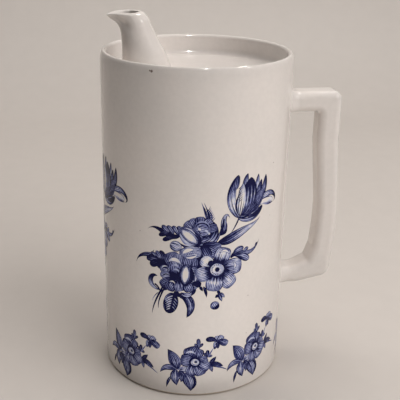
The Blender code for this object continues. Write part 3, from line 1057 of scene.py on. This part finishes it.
sideLeaves = [
    ("leaf", 3.4, (1, 0.85, 0.4, 0.4, 0.35), (0.2, -0.15, 0.3),
     [(12.4, 97.2), (15.9, 100), (15.5, 105), (16.9, 108.4), (18.8, 106.6)]),
    crescent(1.5, (1, 1, 0.7), [(12.6, 97.4), (14.6, 101), (15.4, 107.4)]),
    stem(0.7, (1, 0.9, 0.6), [(13.4, 97.6), (17, 100.6), (16.2, 106)]),
    ("blade", 5.6, (0.95, 0.6, 0.3, 0.25, 0.35), (0.3, -0.1, 0.15),
     [(12.6, 93.6), (20, 95.4), (27, 98.5), (33.5, 101), (38, 104.1)], 3),
    stem(0.8, (1, 0.9, 0.5), [(14, 94.4), (22, 97.6), (30, 100.6), (34.5, 101.4)]),
    ("leaf", 3.4, (0.75, 0.4, 0.3), (0, 0), [(8.4, 105), (7.6, 109), (6.6, 112.6)]),
    [stem(0.55, (0.95, 0.8, 0.5), [(8 - 0.32 * k, 105 + k), (6.6 - 0.3 * k, 106.8 + 1.02 * k),
                                   (5.5 - 0.26 * k, 108.8 + 1.05 * k)]) for k in range(8)],
    [stem(0.55, (0.95, 0.8, 0.5), [(8.2 - 0.32 * k, 105 + k), (9.7 - 0.36 * k, 106.1 + k),
                                   (10.9 - 0.46 * k, 107.8 + 1.02 * k)]) for k in range(7)],
    stem(0.9, (1, 0.95, 0.7), [(8.6, 104.2), (7.2, 110), (5, 115.8)]),
    # feathery leaf at the upper left
    ("blade", 3.2, (1, 0.95, 0.95, 0.9), (0, 0), [(-7, 97.5), (-14, 97.8), (-20, 100.5), (-24.9, 99)]),
    [("lobe", 2.9, (0.95, 0.5, 0.35, 0.7), (0.35, 0, 0.05),
      [(-5.4 - 2.3 * k, 96.8), (-6.6 - 2.6 * k, 100), (-8.4 - 2.8 * k, 102.7 - 0.15 * k)]) for k in range(4)],
    ("lobe", 2.9, (1, 0.7, 0.95), (0.25, 0, 0), [(-10, 97), (-14, 98), (-18.4, 96.2)], 1),
    ("lobe", 2.6, (1, 0.7, 0.95), (0.25, 0, 0), [(-9, 95.8), (-12.8, 95.5), (-16.3, 93.8)], 1),
    # feathery leaf at the lower left
    ("blade", 3.2, (0.9, 0.5, 0.75, 1), (0.1, 0, 0.1), [(-16, 81), (-22, 84), (-28, 83.4), (-32.4, 78)]),
    ("lobe", 3.4, (1, 0.6, 0.9), (0.1, 0, 0.2), [(-16.5, 80.5), (-15.9, 83.5), (-18, 87.7)], 1),
    ("lobe", 2.8, (0.9, 0.35, 0.6), (0.2, 0, 0.2), [(-17.5, 81), (-18, 84), (-20.2, 87.2)], 1),
    stem(0.9, (0.7, 0.9), [(-20.5, 83.5), (-21.8, 85.8), (-21.3, 87.6)]),
    ("lobe", 2.4, (0.8, 0.35, 0.7), (0.2, 0, 0.2), [(-19, 82), (-20.5, 84.5), (-23.2, 85.8)], 1),
    ("lobe", 3.8, (0.9, 0.5, 0.85), (0.1, 0, 0.2), [(-16.5, 81), (-20.5, 82.8), (-25.6, 81.2)], 2),
    ("lobe", 4.2, (1, 0.8, 0.95), (0.15, 0, 0), [(-15.5, 82), (-19, 81), (-23.4, 78.2)], 1),
    ("lobe", 4.4, (1, 1, 1), (0, 0, 0), [(-15.6, 83), (-16.8, 80.5), (-19.5, 78.4)]),
    # feathery leaf at the right
    ("blade", 3.4, (0.95, 0.6, 0.45, 0.5, 0.9), (0.15, 0, 0.15),
     [(20, 83.6), (25.5, 86), (31.5, 85.2), (35.5, 87.2), (38, 90.8)], 1),
    ("lobe", 3.2, (0.9, 0.45, 0.5), (0.25, 0, 0.1), [(21, 84.5), (22.5, 87), (27.7, 88.4)], 1),
    ("lobe", 2.2, (0.5, 0.4, 0.6), (0.2, 0, 0.1), [(27, 86), (28.5, 87), (30.6, 88.1)]),
    ("lobe", 1.6, (0.6, 0.5, 0.8), (0.2, 0, 0.1), [(34.4, 86.4), (35.6, 87.4), (36.2, 89.6)]),
    ("lobe", 4.2, (0.85, 0.45, 0.35, 0.5), (0.1, 0, 0.4), [(21.5, 84.8), (26.5, 83.8), (31.2, 80.7)], 2),
    # hooked leaf and stems at the lower left
    ("leaf", 2.9, (1, 0.9, 0.45, 0.35, 0.9), (0.3, -0.1, 0.1),
     [(-19.3, 72.7), (-22.8, 71.8), (-23.2, 68.6), (-20.7, 65.8), (-17.4, 64.4)]),
    stem(1, (0.9, 1), [(-21, 68), (-18.6, 66), (-17.6, 63.5)]),
    stem(1.1, (1, 0.85), [(-15.8, 68), (-18.3, 62.5), (-21, 56), (-22.4, 49.8)]),
    stem(1, (1, 0.85), [(-14.5, 68), (-17, 62.5), (-18.4, 58), (-18.7, 53.5)]),
    stem(0.5, (0.8, 0.4), [(-18.8, 63), (-21, 60.5), (-22.4, 57.4)]),
    stem(1.1, (1, 0.9), [(-13.5, 66), (-15.5, 65.3), (-17.3, 63.6)]),
    # buds and hanging bits
    ("leaf", 1.8, (0.8, 0.9), (0.1, 0.1), [(3.7, 68.8), (5.3, 65.8)]),
    ("leaf", 1.8, (0.5, 0.9, 1), (0, 0.1), [(5.6, 68.6), (6.8, 65.6), (7.4, 62)]),
    ("leaf", 1.8, (0.8, 0.8), (0, 0.1), [(13.5, 66), (14.4, 62.8)]),
    ("leaf", 2.4, (0.7, 0.3), (0.1, 0.1), [(13.8, 64), (15.7, 62.8), (17.4, 61)]),
    ("leaf", 2.2, (0.6, 0.3), (0.1, 0.1), [(13.8, 63.5), (15, 61.2), (15.9, 58.8)]),
    ("leaf", 2, (0.8, 0.9), (0.1, 0.1), [(13.8, 63.5), (12.7, 62), (11.9, 61.6)]),
    ("oval", 5.1, (0.55, 0.3, 0.4, 0.9), (0.15, 0.05, 0.3), [(10.8, 59.1), (13.2, 54.6)]),
    crescent(2.1, (1, 1), arc((12, 57), 1.9, 20, -120)),
    # ribbed leaf and lower leaf
    ("oval", 8.2, (0.95, 0.6, 0.65, 0.95), (0.35, 0.1, -0.15), [(-10.3, 64.2), (-13.3, 51.6)]),
    ("oval", 2.4, (0.9, 1), (0, 0), [(-15.2, 59.5), (-13.4, 52)]),
    stem(0.9, (1, 0.95), [(-9.9, 64), (-11.2, 58), (-12.7, 53)]),
    ("leaf", 5.2, (0.9, 0.55, 0.45, 0.95), (0.25, -0.05, 0.2),
     [(-8.4, 63.2), (-2.2, 60.6), (-1, 55.5), (-3.2, 49.9)], 2),
    stem(0.8, (0.9, 0.95, 1), [(-7, 62), (-3.4, 58.8), (-2.7, 54.5), (-3.1, 50.6)]),
    ("leaf", 2.8, (0.4, 0.3, 0.5), (0.25, 0, 0.1), [(-6.3, 64.8), (-2.6, 63.4), (0.4, 66.8)], 1),
    ("leaf", 1.8, (0.7, 0.8), (0.1, 0.1), [(1.5, 67.5), (0.3, 65), (-0.9, 63)]),
    ("leaf", 3, (1, 0.95), (0, 0), [(-10, 65), (-6.2, 62)]),
]
ribs = [
    [stem(0.55, (0.25, 0.1, 0.35), [(-10.6 - 0.3 * n, 62.4 - 1.5 * n), (-13.2 - 0.1 * n, 60.9 - 1.4 * n),
                                    (-14.9 + 0.15 * n, 59.2 - 1.1 * n)]) for n in range(6)],
    [stem(0.4, (0.3, 0.5), [(-9.6 - 0.4 * n, 61 - 1.7 * n), (-7.8 - 0.5 * n, 58.6 - 1.5 * n)])
     for n in range(4)],
]
rose = [
    ("oval", 17.5, (1, 1), (0, 0, 0), [(-4.4, 99.8), (13, 98)]),
    ("round", 5.4, (0.95, 0.4, 0.5), (0.25, 0, 0.05), [(0.5, 100.5), (-4.5, 105.2)], 2),
    ("round", 4.8, (0.95, 0.4, 0.5), (0.2, 0, 0.05), [(1.5, 102), (-1.6, 107.2)], 1),
    ("round", 5.8, (0.95, 0.5, 0.6), (0.2, 0, 0.05), [(3.4, 101.5), (3, 108.5)], 2),
    ("round", 5.6, (0.9, 0.4, 0.5), (0.15, 0, 0.1), [(4.5, 101.5), (8.9, 106.4)], 2),
    ("round", 5.8, (0.9, 0.5, 0.65), (0.1, 0, 0.1), [(5, 101), (12.3, 102.2)], 2),
    ("crescent", 2.1, (0.7, 0.3, 0.6), (0.1, 0, 0.2), arc((4, 101), 9.7, -5, -118)),
    crescent(1.1, (0.5, 0.2, 0.6), arc((4, 101), 8.3, -12, -108)),
    crescent(1, (0.5, 0.3, 0.6), arc((4, 101), 6.9, -10, -115)),
    crescent(1.6, (0.6, 0.4, 0.6), arc((3.5, 101), 5.8, -30, -125)),
    ("oval", 9, (0.65, 0.4, 0.6), (0.15, 0, 0.1), [(-0.4, 102), (9.1, 100.4)]),
    crescent(0.9, (0.5, 0.35, 0.5), arc((4.2, 101.4), 4.1, 20, 150)),
    crescent(0.7, (1, 1), arc((4.2, 101.4), 3.4, 0, 165)),
    crescent(0.7, (0.5, 0.4), arc((4.2, 101.4), 2.7, 10, 170)),
    crescent(0.7, (1, 1), arc((4.4, 101.2), 3.9, 170, 330)),
    crescent(0.8, (0.5, 0.35), arc((4.6, 101.2), 3.1, 190, 340)),
    crescent(0.6, (1, 0.9), arc((4.4, 101.2), 2.1, 60, 300)),
    ("oval", 1.9, (0.2, 0, 0.15), (0, 0), [(2, 102.1), (3.8, 100.8)]),
    ("oval", 1.2, (0.3, 0.15), (0, 0), [(5.6, 101.2), (7.2, 99.7)]),
    ("oval", 1.2, (0.3, 0.15), (0, 0), [(7, 99.9), (8.3, 98.4)]),
    ("oval", 3.4, (0.55, 0.35, 0.6), (0.1, 0, 0.2), [(0.8, 98.4), (4.4, 95.8)], 1),
    ("crescent", 1.7, (0.6, 0.4, 0.6), (0.1, 0, 0.1), [(1.5, 94), (5, 94.8), (9.4, 97)]),
    ("oval", 9, (0.65, 0.65, 0.95), (0, 0, 0), [(-7.2, 101.8), (3.4, 92.6)]),
    crescent(1.3, (0.4, 0.2, 0.4), [(-7, 98.6), (-4.6, 94.6), (0.8, 92.6)]),
    crescent(1.1, (0.5, 0.3, 0.5), [(-6.9, 96.2), (-3.8, 92.9), (2.4, 91.4)]),
    crescent(1.5, (0.35, 0.3, 0.4), [(-5.9, 102), (-2.4, 101.4), (1.3, 97.4)]),
    ("oval", 5.2, (0.5, 0.35, 0.55), (0.1, 0, 0.1), [(-6.3, 101), (2.1, 93.4)]),
    ("oval", 3.9, (0.15, 0, 0, 0.25), (0.1, 0, 0), [(-5.9, 100.6), (1.4, 94)]),
    crescent(1.6, (0.8, 0.7, 0.9), [(-7.6, 93.6), (-2, 90.9), (4.3, 92.6)]),
    ("oval", 6, (0.45, 0.2, 0.4), (0.1, -0.05, 0.35), [(-12.3, 92.6), (-6.3, 90.2)], 2),
    ("round", 5.4, (0.9, 0.6, 0.5), (0.1, 0, 0.2), [(4.5, 92.8), (14.6, 90.8)], 3),
    ("round", 6.6, (0.8, 0.5, 0.5), (0.1, 0, 0.15), [(6, 91.6), (13.2, 86.4)], 3),
    ("round", 5.8, (0.95, 0.6, 0.5), (0.3, 0, 0.1), [(4.4, 92.4), (8, 85.6)], 4),
    ("round", 7, (0.5, 0.25, 0.25, 0.4), (0.15, 0.05, 0.15), [(-7.4, 88.2), (4.2, 88.3)]),
    crescent(2.6, (0.1, 0, 0.1), [(-5.8, 87.2), (-3.4, 89.3), (0.4, 90)]),
    crescent(1.6, (0.1, 0, 0.1), [(-4.9, 85.7), (-1, 85.4), (2.6, 87.6)]),
    [stem(0.4, (0.7, 0.6), [(-3.6 + 1.1 * n, 86.4 + 0.3 * n), (-2.4 + 1.1 * n, 88.6 + 0.2 * n)])
     for n in range(5)],
]
peony = [
    ("oval", 20.5, (0.9, 0.8, 0.9), (0, 0, 0), [(-17.2, 76.5), (3, 75.5)]),
    ("oval", 6, (1, 1), (0, 0, 0), [(2.2, 87.5), (3.4, 79)]),
    ("round", 8.8, (0.6, 0.4, 0.55), (0.25, 0, 0.15), [(-9, 79), (-12.6, 87.6)], 4),
    ("round", 8.2, (0.6, 0.45, 0.45), (0.1, 0, 0.2), [(-6.5, 79.5), (-7.6, 87.3)], 3),
    ("round", 8.6, (0.85, 0.5, 0.5), (0.15, 0, 0.2), [(-2.3, 77), (-1, 85.6)], 4),
    ("round", 9.4, (0.75, 0.45, 0.45), (0.1, 0, 0.15), [(-3, 74), (3.6, 77)], 4),
    ("round", 7, (0.8, 0.4, 0.5), (0.1, 0, 0.2), [(-3, 73), (2.8, 68.2)], 4),
    ("round", 6, (0.8, 0.45, 0.6), (0.1, 0, 0.2), [(-4, 71.5), (-1.2, 65.4)], 3),
    ("round", 9, (0.95, 0.55, 0.4), (0.2, 0, 0.15), [(-9.5, 73), (-9.3, 83)], 6),
    ("crescent", 2.6, (0.4, 0, 0.05, 0.35), (0.05, 0, 0.15), [(-13.6, 81.6), (-10, 83.8), (-6, 80.4)]),
    crescent(1.2, (0.6, 0.2, 0.6), [(-12.2, 79.2), (-9.4, 80.7), (-6.4, 77.6)]),
    crescent(1, (0.7, 0.25, 0.6), [(-11.6, 76.6), (-9, 78.2), (-6.6, 75)]),
    ("oval", 4.8, (0.55, 0.4, 0.45), (0.15, 0, 0.15), [(-18, 77.8), (-12.3, 77.4)]),
    crescent(0.8, (1, 1), arc((-14.8, 77.4), 1.4, 200, -60)),
    crescent(0.6, (0.2, 0.1), arc((-14.8, 77.4), 2, 180, 60)),
    ("oval", 4.4, (0.55, 0.35, 0.5), (0.1, 0, 0.1), [(-17.8, 74), (-12, 74.4)]),
    crescent(0.8, (0.95, 0.95), [(-16.5, 73), (-14.2, 74.8), (-12.3, 74)]),
    ("oval", 7.6, (0.65, 0.6, 0.95), (0.1, 0, 0.2), [(-3, 81.6), (-4.8, 68.6)]),
    ("oval", 5, (0.5, 0.35, 0.6), (0.2, 0, 0.1), [(-3.6, 80.6), (-4.3, 69.8)]),
    ("oval", 3.7, (0.15, 0, 0, 0.2), (0.1, 0, 0), [(-3.6, 79.9), (-4.3, 70.8)]),
    crescent(1.8, (0.95, 1, 0.95), [(-1.2, 79.5), (-0.2, 75), (-1.7, 70)]),
    crescent(1.4, (0.4, 0.15, 0.4), [(0.5, 78.8), (1.6, 75), (0.4, 70.4)]),
    ("oval", 4.2, (1, 0.9), (0, 0, 0), [(-12.4, 75.4), (-8.2, 73.2)]),
    ("round", 6.2, (0.95, 0.55, 0.8), (0.2, 0, 0), [(-10.5, 72.5), (-17.3, 67.2)], 2),
    ("round", 6.4, (0.95, 0.45, 0.75), (0.15, 0, 0.1), [(-10, 72), (-13, 65.2)], 3),
    ("round", 5.6, (0.9, 0.4, 0.5), (0.1, 0, 0.2), [(-8.3, 71.8), (-7.2, 65.2)], 2),
    crescent(0.7, (0.2, 0.1), [(-12.6, 70.4), (-10.8, 71), (-9.4, 69.6)]),
    ("petal", 3.8, (0.9, 0.85, 1), (0, 0), [(-0.5, 71), (4.4, 69.4)]),
]
anemone = [
    ("round", 7, (0.8, 0.1, 0, 0.35), (0.25, 0, 0.1), [(11, 80.2), (4.1, 84.8)]),
    ("petal", 3.4, (1, 1, 0.9), (0, 0), [(12.5, 81.5), (7.6, 82.2)]),
    ("round", 9.2, (0.95, 0.85, 0.2, 0.1, 0.6), (0.2, 0, 0.2), [(13.4, 79.6), (16.8, 90.5)], 6),
    ("round", 9.4, (0.95, 0.55, 0.3, 0.12, 0.45), (0.15, 0.05, 0.35), [(14.8, 78.8), (26.8, 78.8)], 3),
    ("round", 9, (0.95, 0.65, 0.3, 0.2, 0.5), (0.2, 0, 0.25), [(14.2, 76.4), (21.8, 67.6)], 4),
    ("round", 9.6, (0.95, 0.6, 0.1, 0.4, 0.45), (0.2, 0, 0.15), [(12.4, 76.2), (10.8, 65.4)], 4),
    ("round", 8.8, (0.95, 0.8, 0.25, 0.15, 0.5), (0.3, 0.05, 0.2), [(11, 77.6), (1.4, 74.6)], 3),
    crescent(1.6, (0.2, 0, 0.2), [(13.6, 87.6), (16.8, 88.6), (19.4, 86)]),
    crescent(1.6, (0.3, 0.05, 0.3), [(21.2, 81.6), (22.9, 79.3), (21.4, 76.6)]),
    crescent(1.3, (0.3, 0.1, 0.3), [(17.8, 72.4), (19.2, 71.2), (19.8, 69.2)]),
]
eye = (12.7, 78.1)
anemone += [
    [("blade", 1, (1, 0.95), (0, 0),
      [arc(eye, 3.4, turn, turn)[0], arc(eye, 6.2 + 1.5 * math.sin(turn * 0.31), turn + 3, turn)[0]])
     for turn in range(0, 360, 12)],
    ("oval", 8.4, (0.95, 0.9), (0, 0), [(8.5, 78.1), (16.9, 78.1)]),
    ("oval", 7.5, (0.15, 0.05, 0.2, 0.25), (0.1, 0, 0.15), [(8.95, 78.2), (16.5, 78)]),
    ("oval", 2.7, (1, 1), (0, 0), [(11.4, 78.1), (14.1, 78.1)]),
    [("oval", 0.7, (0.9, 0.9), (0, 0), [arc(eye, 2.5, turn, turn)[0], arc(eye, 3.1, turn, turn)[0]])
     for turn in range(80, 300, 22)],
]

cobaltBlue = makeInk()
bouquet = paintSpray("bouquet1", sideLeaves + ribs + tulip + peony + rose + anemone)
for number in (2, 3):
    turn = (1 - number) * painting["bouquetTurn"]
    finishSpray(copySpray(bouquet, "bouquet%d" % number, turn))
finishSpray(bouquet)
print("bouquets painted")


# Border of small sprays

borderMarks = [
    stem(0.7, (0.6, 0.5), [(-7.8, 16.3), (-6, 18.2), (-3.5, 20)]),
    stem(0.5, (0.4, 0.3), [(-6.5, 16.5), (-4, 17.2), (-2, 17)]),
    ("leaf", 1.7, (0.5, 0.9, 0.95), (0, 0), [(-11.4, 12), (-13, 8.5), (-13.9, 4.6)]),
    ("petal", 4.4, (0.5, 0.35, 0.45), (0, 0), [(-6.8, 16.4), (-1, 17.4)], 2),
    ("leaf", 7, (0.9, 0.5, 0.6, 0.95), (0.25, 0, 0), [(-7.8, 17), (-9.5, 23), (-13.3, 29.2)], 4),
    ("leaf", 3.8, (0.7, 0.5, 0.75), (0.25, 0, 0), [(-8, 16.3), (-13, 17.8), (-17.7, 13.6)], 1),
    ("leaf", 5.6, (0.7, 0.4, 0.9), (0.2, -0.1, 0.35), [(-8.5, 16.8), (-9, 12), (-8, 6.6)], 2),
    ("leaf", 4.6, (0.95, 0.7, 0.8), (0, 0), [(-7, 16), (-5, 12.5), (-5.8, 9)], 1),
    ("leaf", 7.6, (0.85, 0.45, 0.45, 0.85), (0.1, 0, 0.3), [(-3.5, 15), (-1, 10.5), (-0.3, 3.4)], 4),
    crescent(1.7, (0.9, 0.95, 0.95), [(-0.2, 13.8), (2.2, 9.5), (0, 4)]),
    ("lobe", 2.4, (0.5, 0.5, 0.75), (0.1, 0.1), [(4, 30), (3.5, 37)]),
    ("lobe", 1.6, (0.5, 0.6), (0.1, 0.1), [(3.8, 30.6), (1.6, 33.9)]),
    ("lobe", 1.6, (0.6, 0.8), (0.1, 0.1), [(4.2, 31), (6.1, 34)]),
    ("lobe", 2.2, (0.7, 0.6, 0.85), (0.1, 0.1), [(8.4, 24), (8.9, 29.6)]),
    ("lobe", 1.6, (0.8, 0.7), (0.1, 0.1), [(8.6, 24.6), (6.9, 27.9)]),
    ("lobe", 1.7, (0.7, 0.6), (0.1, 0.1), [(8.6, 25), (11.5, 26)]),
    ("leaf", 2.7, (0.95, 0.85), (0, 0), [(10, 20.3), (13.7, 24.9)]),
    ("leaf", 3.6, (0.95, 0.7, 0.75), (0.15, 0.1), [(9.8, 20.6), (14, 19.8), (18, 18)]),
    stem(0.9, (0.8, 0.8), [(13.5, 18.5), (17.5, 17), (20.6, 15.2)]),
    ("leaf", 2.4, (0.85, 0.45, 0.5), (0.2, 0.1), [(10.2, 20.4), (11.8, 15.2)]),
    stem(0.9, (0.6, 0.7), [(9.2, 25), (10.6, 28), (12.2, 30.6)]),
    ("petal", 3.2, (0.8, 0.4, 0.45), (0.1, 0, 0.1), [(12.6, 29.6), (13.8, 34.6)], 1),
    ("petal", 2.6, (0.8, 0.9), (0, 0), [(14.6, 29.8), (14.2, 34)]),
    ("round", 3.6, (0.9, 0.35, 0.45), (0.1, 0, 0.1), [(14, 33.8), (14.2, 38)], 2),
    ("round", 3.8, (0.9, 0.35, 0.45), (0.2, 0, 0.1), [(14.4, 33.8), (17, 37.8)], 2),
    ("petal", 3.4, (0.95, 0.75, 0.8, 1), (0.1, 0.1), [(13.8, 34.4), (10.5, 36.2), (7.7, 35.6)], 1),
    ("round", 4.4, (0.95, 0.55, 0.5), (0.15, 0, 0.3), [(14.6, 35), (20.2, 32)], 2),
    ("round", 9.6, (1, 0.75, 0.5, 0.85), (0.15, 0.05, 0.15), [(2.2, 23), (-1.1, 31.9)], 3),
    ("round", 5.4, (1, 0.5, 0.7), (0.1, 0, 0.2), [(2.8, 24), (4.9, 30.4)], 2),
    ("round", 8, (0.95, 0.5, 0.5, 0.8), (0.15, 0, 0.2), [(1.5, 22.8), (-6.2, 23.6)], 2),
    ("round", 6.6, (1, 0.6, 0.5, 0.7), (0.1, 0, 0.15), [(3.5, 22), (9.2, 23.4)], 2),
    ("round", 7, (1, 0.5, 0.4, 0.75), (0.25, 0, 0.15), [(1.6, 21.6), (-0.6, 13.4)], 3),
    ("round", 7.2, (0.95, 0.5, 0.4, 0.7), (0.15, 0, 0.15), [(2.5, 21.4), (5.8, 13.6)], 3),
    ("round", 7, (0.95, 0.5, 0.4, 0.7), (0.15, 0, 0.2), [(3.2, 21.6), (10, 17.8)], 3),
    crescent(1.2, (0.35, 0.2, 0.35), [(-3.2, 27.6), (-0.6, 28.8), (2, 27.4)]),
    ("oval", 6.6, (1, 0.95), (0, 0), [(-1.4, 22.4), (5.2, 22)]),
    ("oval", 4.6, (0.35, 0.1, 0.2), (0.15, 0, 0.05), [(-0.4, 22.3), (4.3, 21.8)]),
    ("oval", 1.7, (0.85, 0.7), (0, 0), [(1.5, 22.5), (3.3, 22.1)]),
    crescent(0.6, (0.6, 0.5), arc((2, 22), 1.6, 170, 340)),
]
borderPlaces = [(-43.5, -1.1, -5), (0.0, 0.0, 0), (41.4, 1.9, 5), (87.0, 0.6, 2), (131.0, -0.4, -2),
                (175.0, 0.3, 3), (219.0, -0.2, -3), (261.0, 0.5, 1)]  # turn, rise, spin of each spray
firstSpray = paintSpray("borderSprayMaster", borderMarks, painting["borderStrength"])
for number, (turn, rise, spin) in enumerate(borderPlaces, 1):
    finishSpray(copySpray(firstSpray, "borderSpray%d" % number, turn, rise, spin))
bpy.data.objects.remove(firstSpray)
print("border painted")


# Stage, lamps and camera

stage = {
    "floor": (0.62, 0.58, 0.545, 1),
    "grain": (0.985, 1.01),
    "grainSpan": (0.2, 0.8),
    "grainScale": 60.0,
    "roughness": 0.6,
    "size": 7.0,
    "wallDistance": 0.75,
    "curve": 0.25,
    "curveSteps": 24,
    "world": (0.93, 0.96, 1.0, 1),
    "worldStrength": 0.05,
}
lamps = {  # place, size, power, colour and use; a glint only shines in the glaze
    "topSoft": ((0.22, 0.05, 1.22), 1.3, 5.8, (1, 0.955, 0.915), "light"),
    "backSoft": ((-0.24, 0.52, 1.18), 1.0, 5.0, (1, 0.955, 0.915), "light"),
    "rightSoft": ((0.74, -0.70, 0.86), 1.2, 11.0, (1, 0.965, 0.94), "light"),
    "frontGlint": ((0.06, -0.56, 1.12), 0.07, 6.0, (1, 0.97, 0.93), "glint"),
    "rightGlint": ((0.87, -0.54, 0.77), 0.05, 1.3, (1, 0.97, 0.93), "glint"),
    "backGlint": ((0.49, 0.41, 1.20), 0.14, 5.0, (1, 0.95, 0.88), "glint"),
    "frontCard": ((-0.04, -0.235, 0.004), 0.34, 0.24, (1, 0.965, 0.94), "card"),
}
cameraSizes = {
    "fromAxis": (-0.0569, -0.4050, 0.2562),
    "turn": (68.773, -1.132, -8.007),
    "lens": 68.6,             # millimetres, as is the sensor
    "sensor": 36,
}


def makeFloor():
    clearSelection()
    material, tree, shader, place = newMaterial("paleFloor")
    grain = noiseNode(tree, place, stage["grainScale"], 4.0)
    grain = fadeNode(tree, grain, *stage["grainSpan"], *stage["grain"])
    tree.links.new(dimNode(tree, stage["floor"], grain), shader.inputs["Base Color"])
    shader.inputs["Roughness"].default_value = stage["roughness"]
    bpy.ops.mesh.primitive_plane_add(size=stage["size"], location=(0, 0, 0))
    floor = startPiece("floor")
    bpy.ops.object.mode_set(mode="EDIT")
    half = stage["size"] / 2
    pick(floor, "EDGE", lambda co: near(co.y, half))
    bpy.ops.transform.translate(value=(0, stage["wallDistance"] - half, 0))
    pull(0, 0, half)
    pick(floor, "EDGE", lambda co: near(co.y, stage["wallDistance"]) and near(co.z, 0))
    roundEdges(stage["curve"], stage["curveSteps"])
    bpy.ops.object.mode_set(mode="OBJECT")
    bpy.ops.object.shade_smooth()
    floor.data.materials.append(material)


def makeLamps():
    target = Vector((axisX, 0, rimHeight / 2))
    for name, (place, size, power, colour, use) in lamps.items():
        lamp = bpy.data.lights.new(name, "AREA")
        lamp.shape = "DISK"
        lamp.size = size
        lamp.energy = power
        lamp.color = colour
        thing = addObject(name, lamp)
        thing.location = place
        thing.visible_camera = use != "card"
        thing.visible_glossy = use == "glint"
        thing.visible_diffuse = use != "glint"
        thing.rotation_euler = (target - thing.location).to_track_quat("-Z", "Y").to_euler()
        if use == "card":  # it throws light up from the floor
            thing.rotation_euler = (math.pi, 0, 0)
    world = bpy.data.worlds.new("softRoom")
    world.use_nodes = True
    sky = world.node_tree.nodes["Background"]
    sky.inputs["Color"].default_value = stage["world"]
    sky.inputs["Strength"].default_value = stage["worldStrength"]
    bpy.context.scene.world = world


def makeCamera():
    data = bpy.data.cameras.new("camera")
    data.sensor_width = cameraSizes["sensor"]
    data.lens = cameraSizes["lens"]
    camera = addObject("camera", data)
    x, y, z = cameraSizes["fromAxis"]
    camera.location = (axisX + x, y, z)
    camera.rotation_euler = [math.radians(angle) for angle in cameraSizes["turn"]]
    bpy.context.scene.camera = camera


makeFloor()
makeLamps()
makeCamera()
bpy.context.scene.view_settings.view_transform = "Standard"
print("stage made")

bpy.context.view_layer.update()
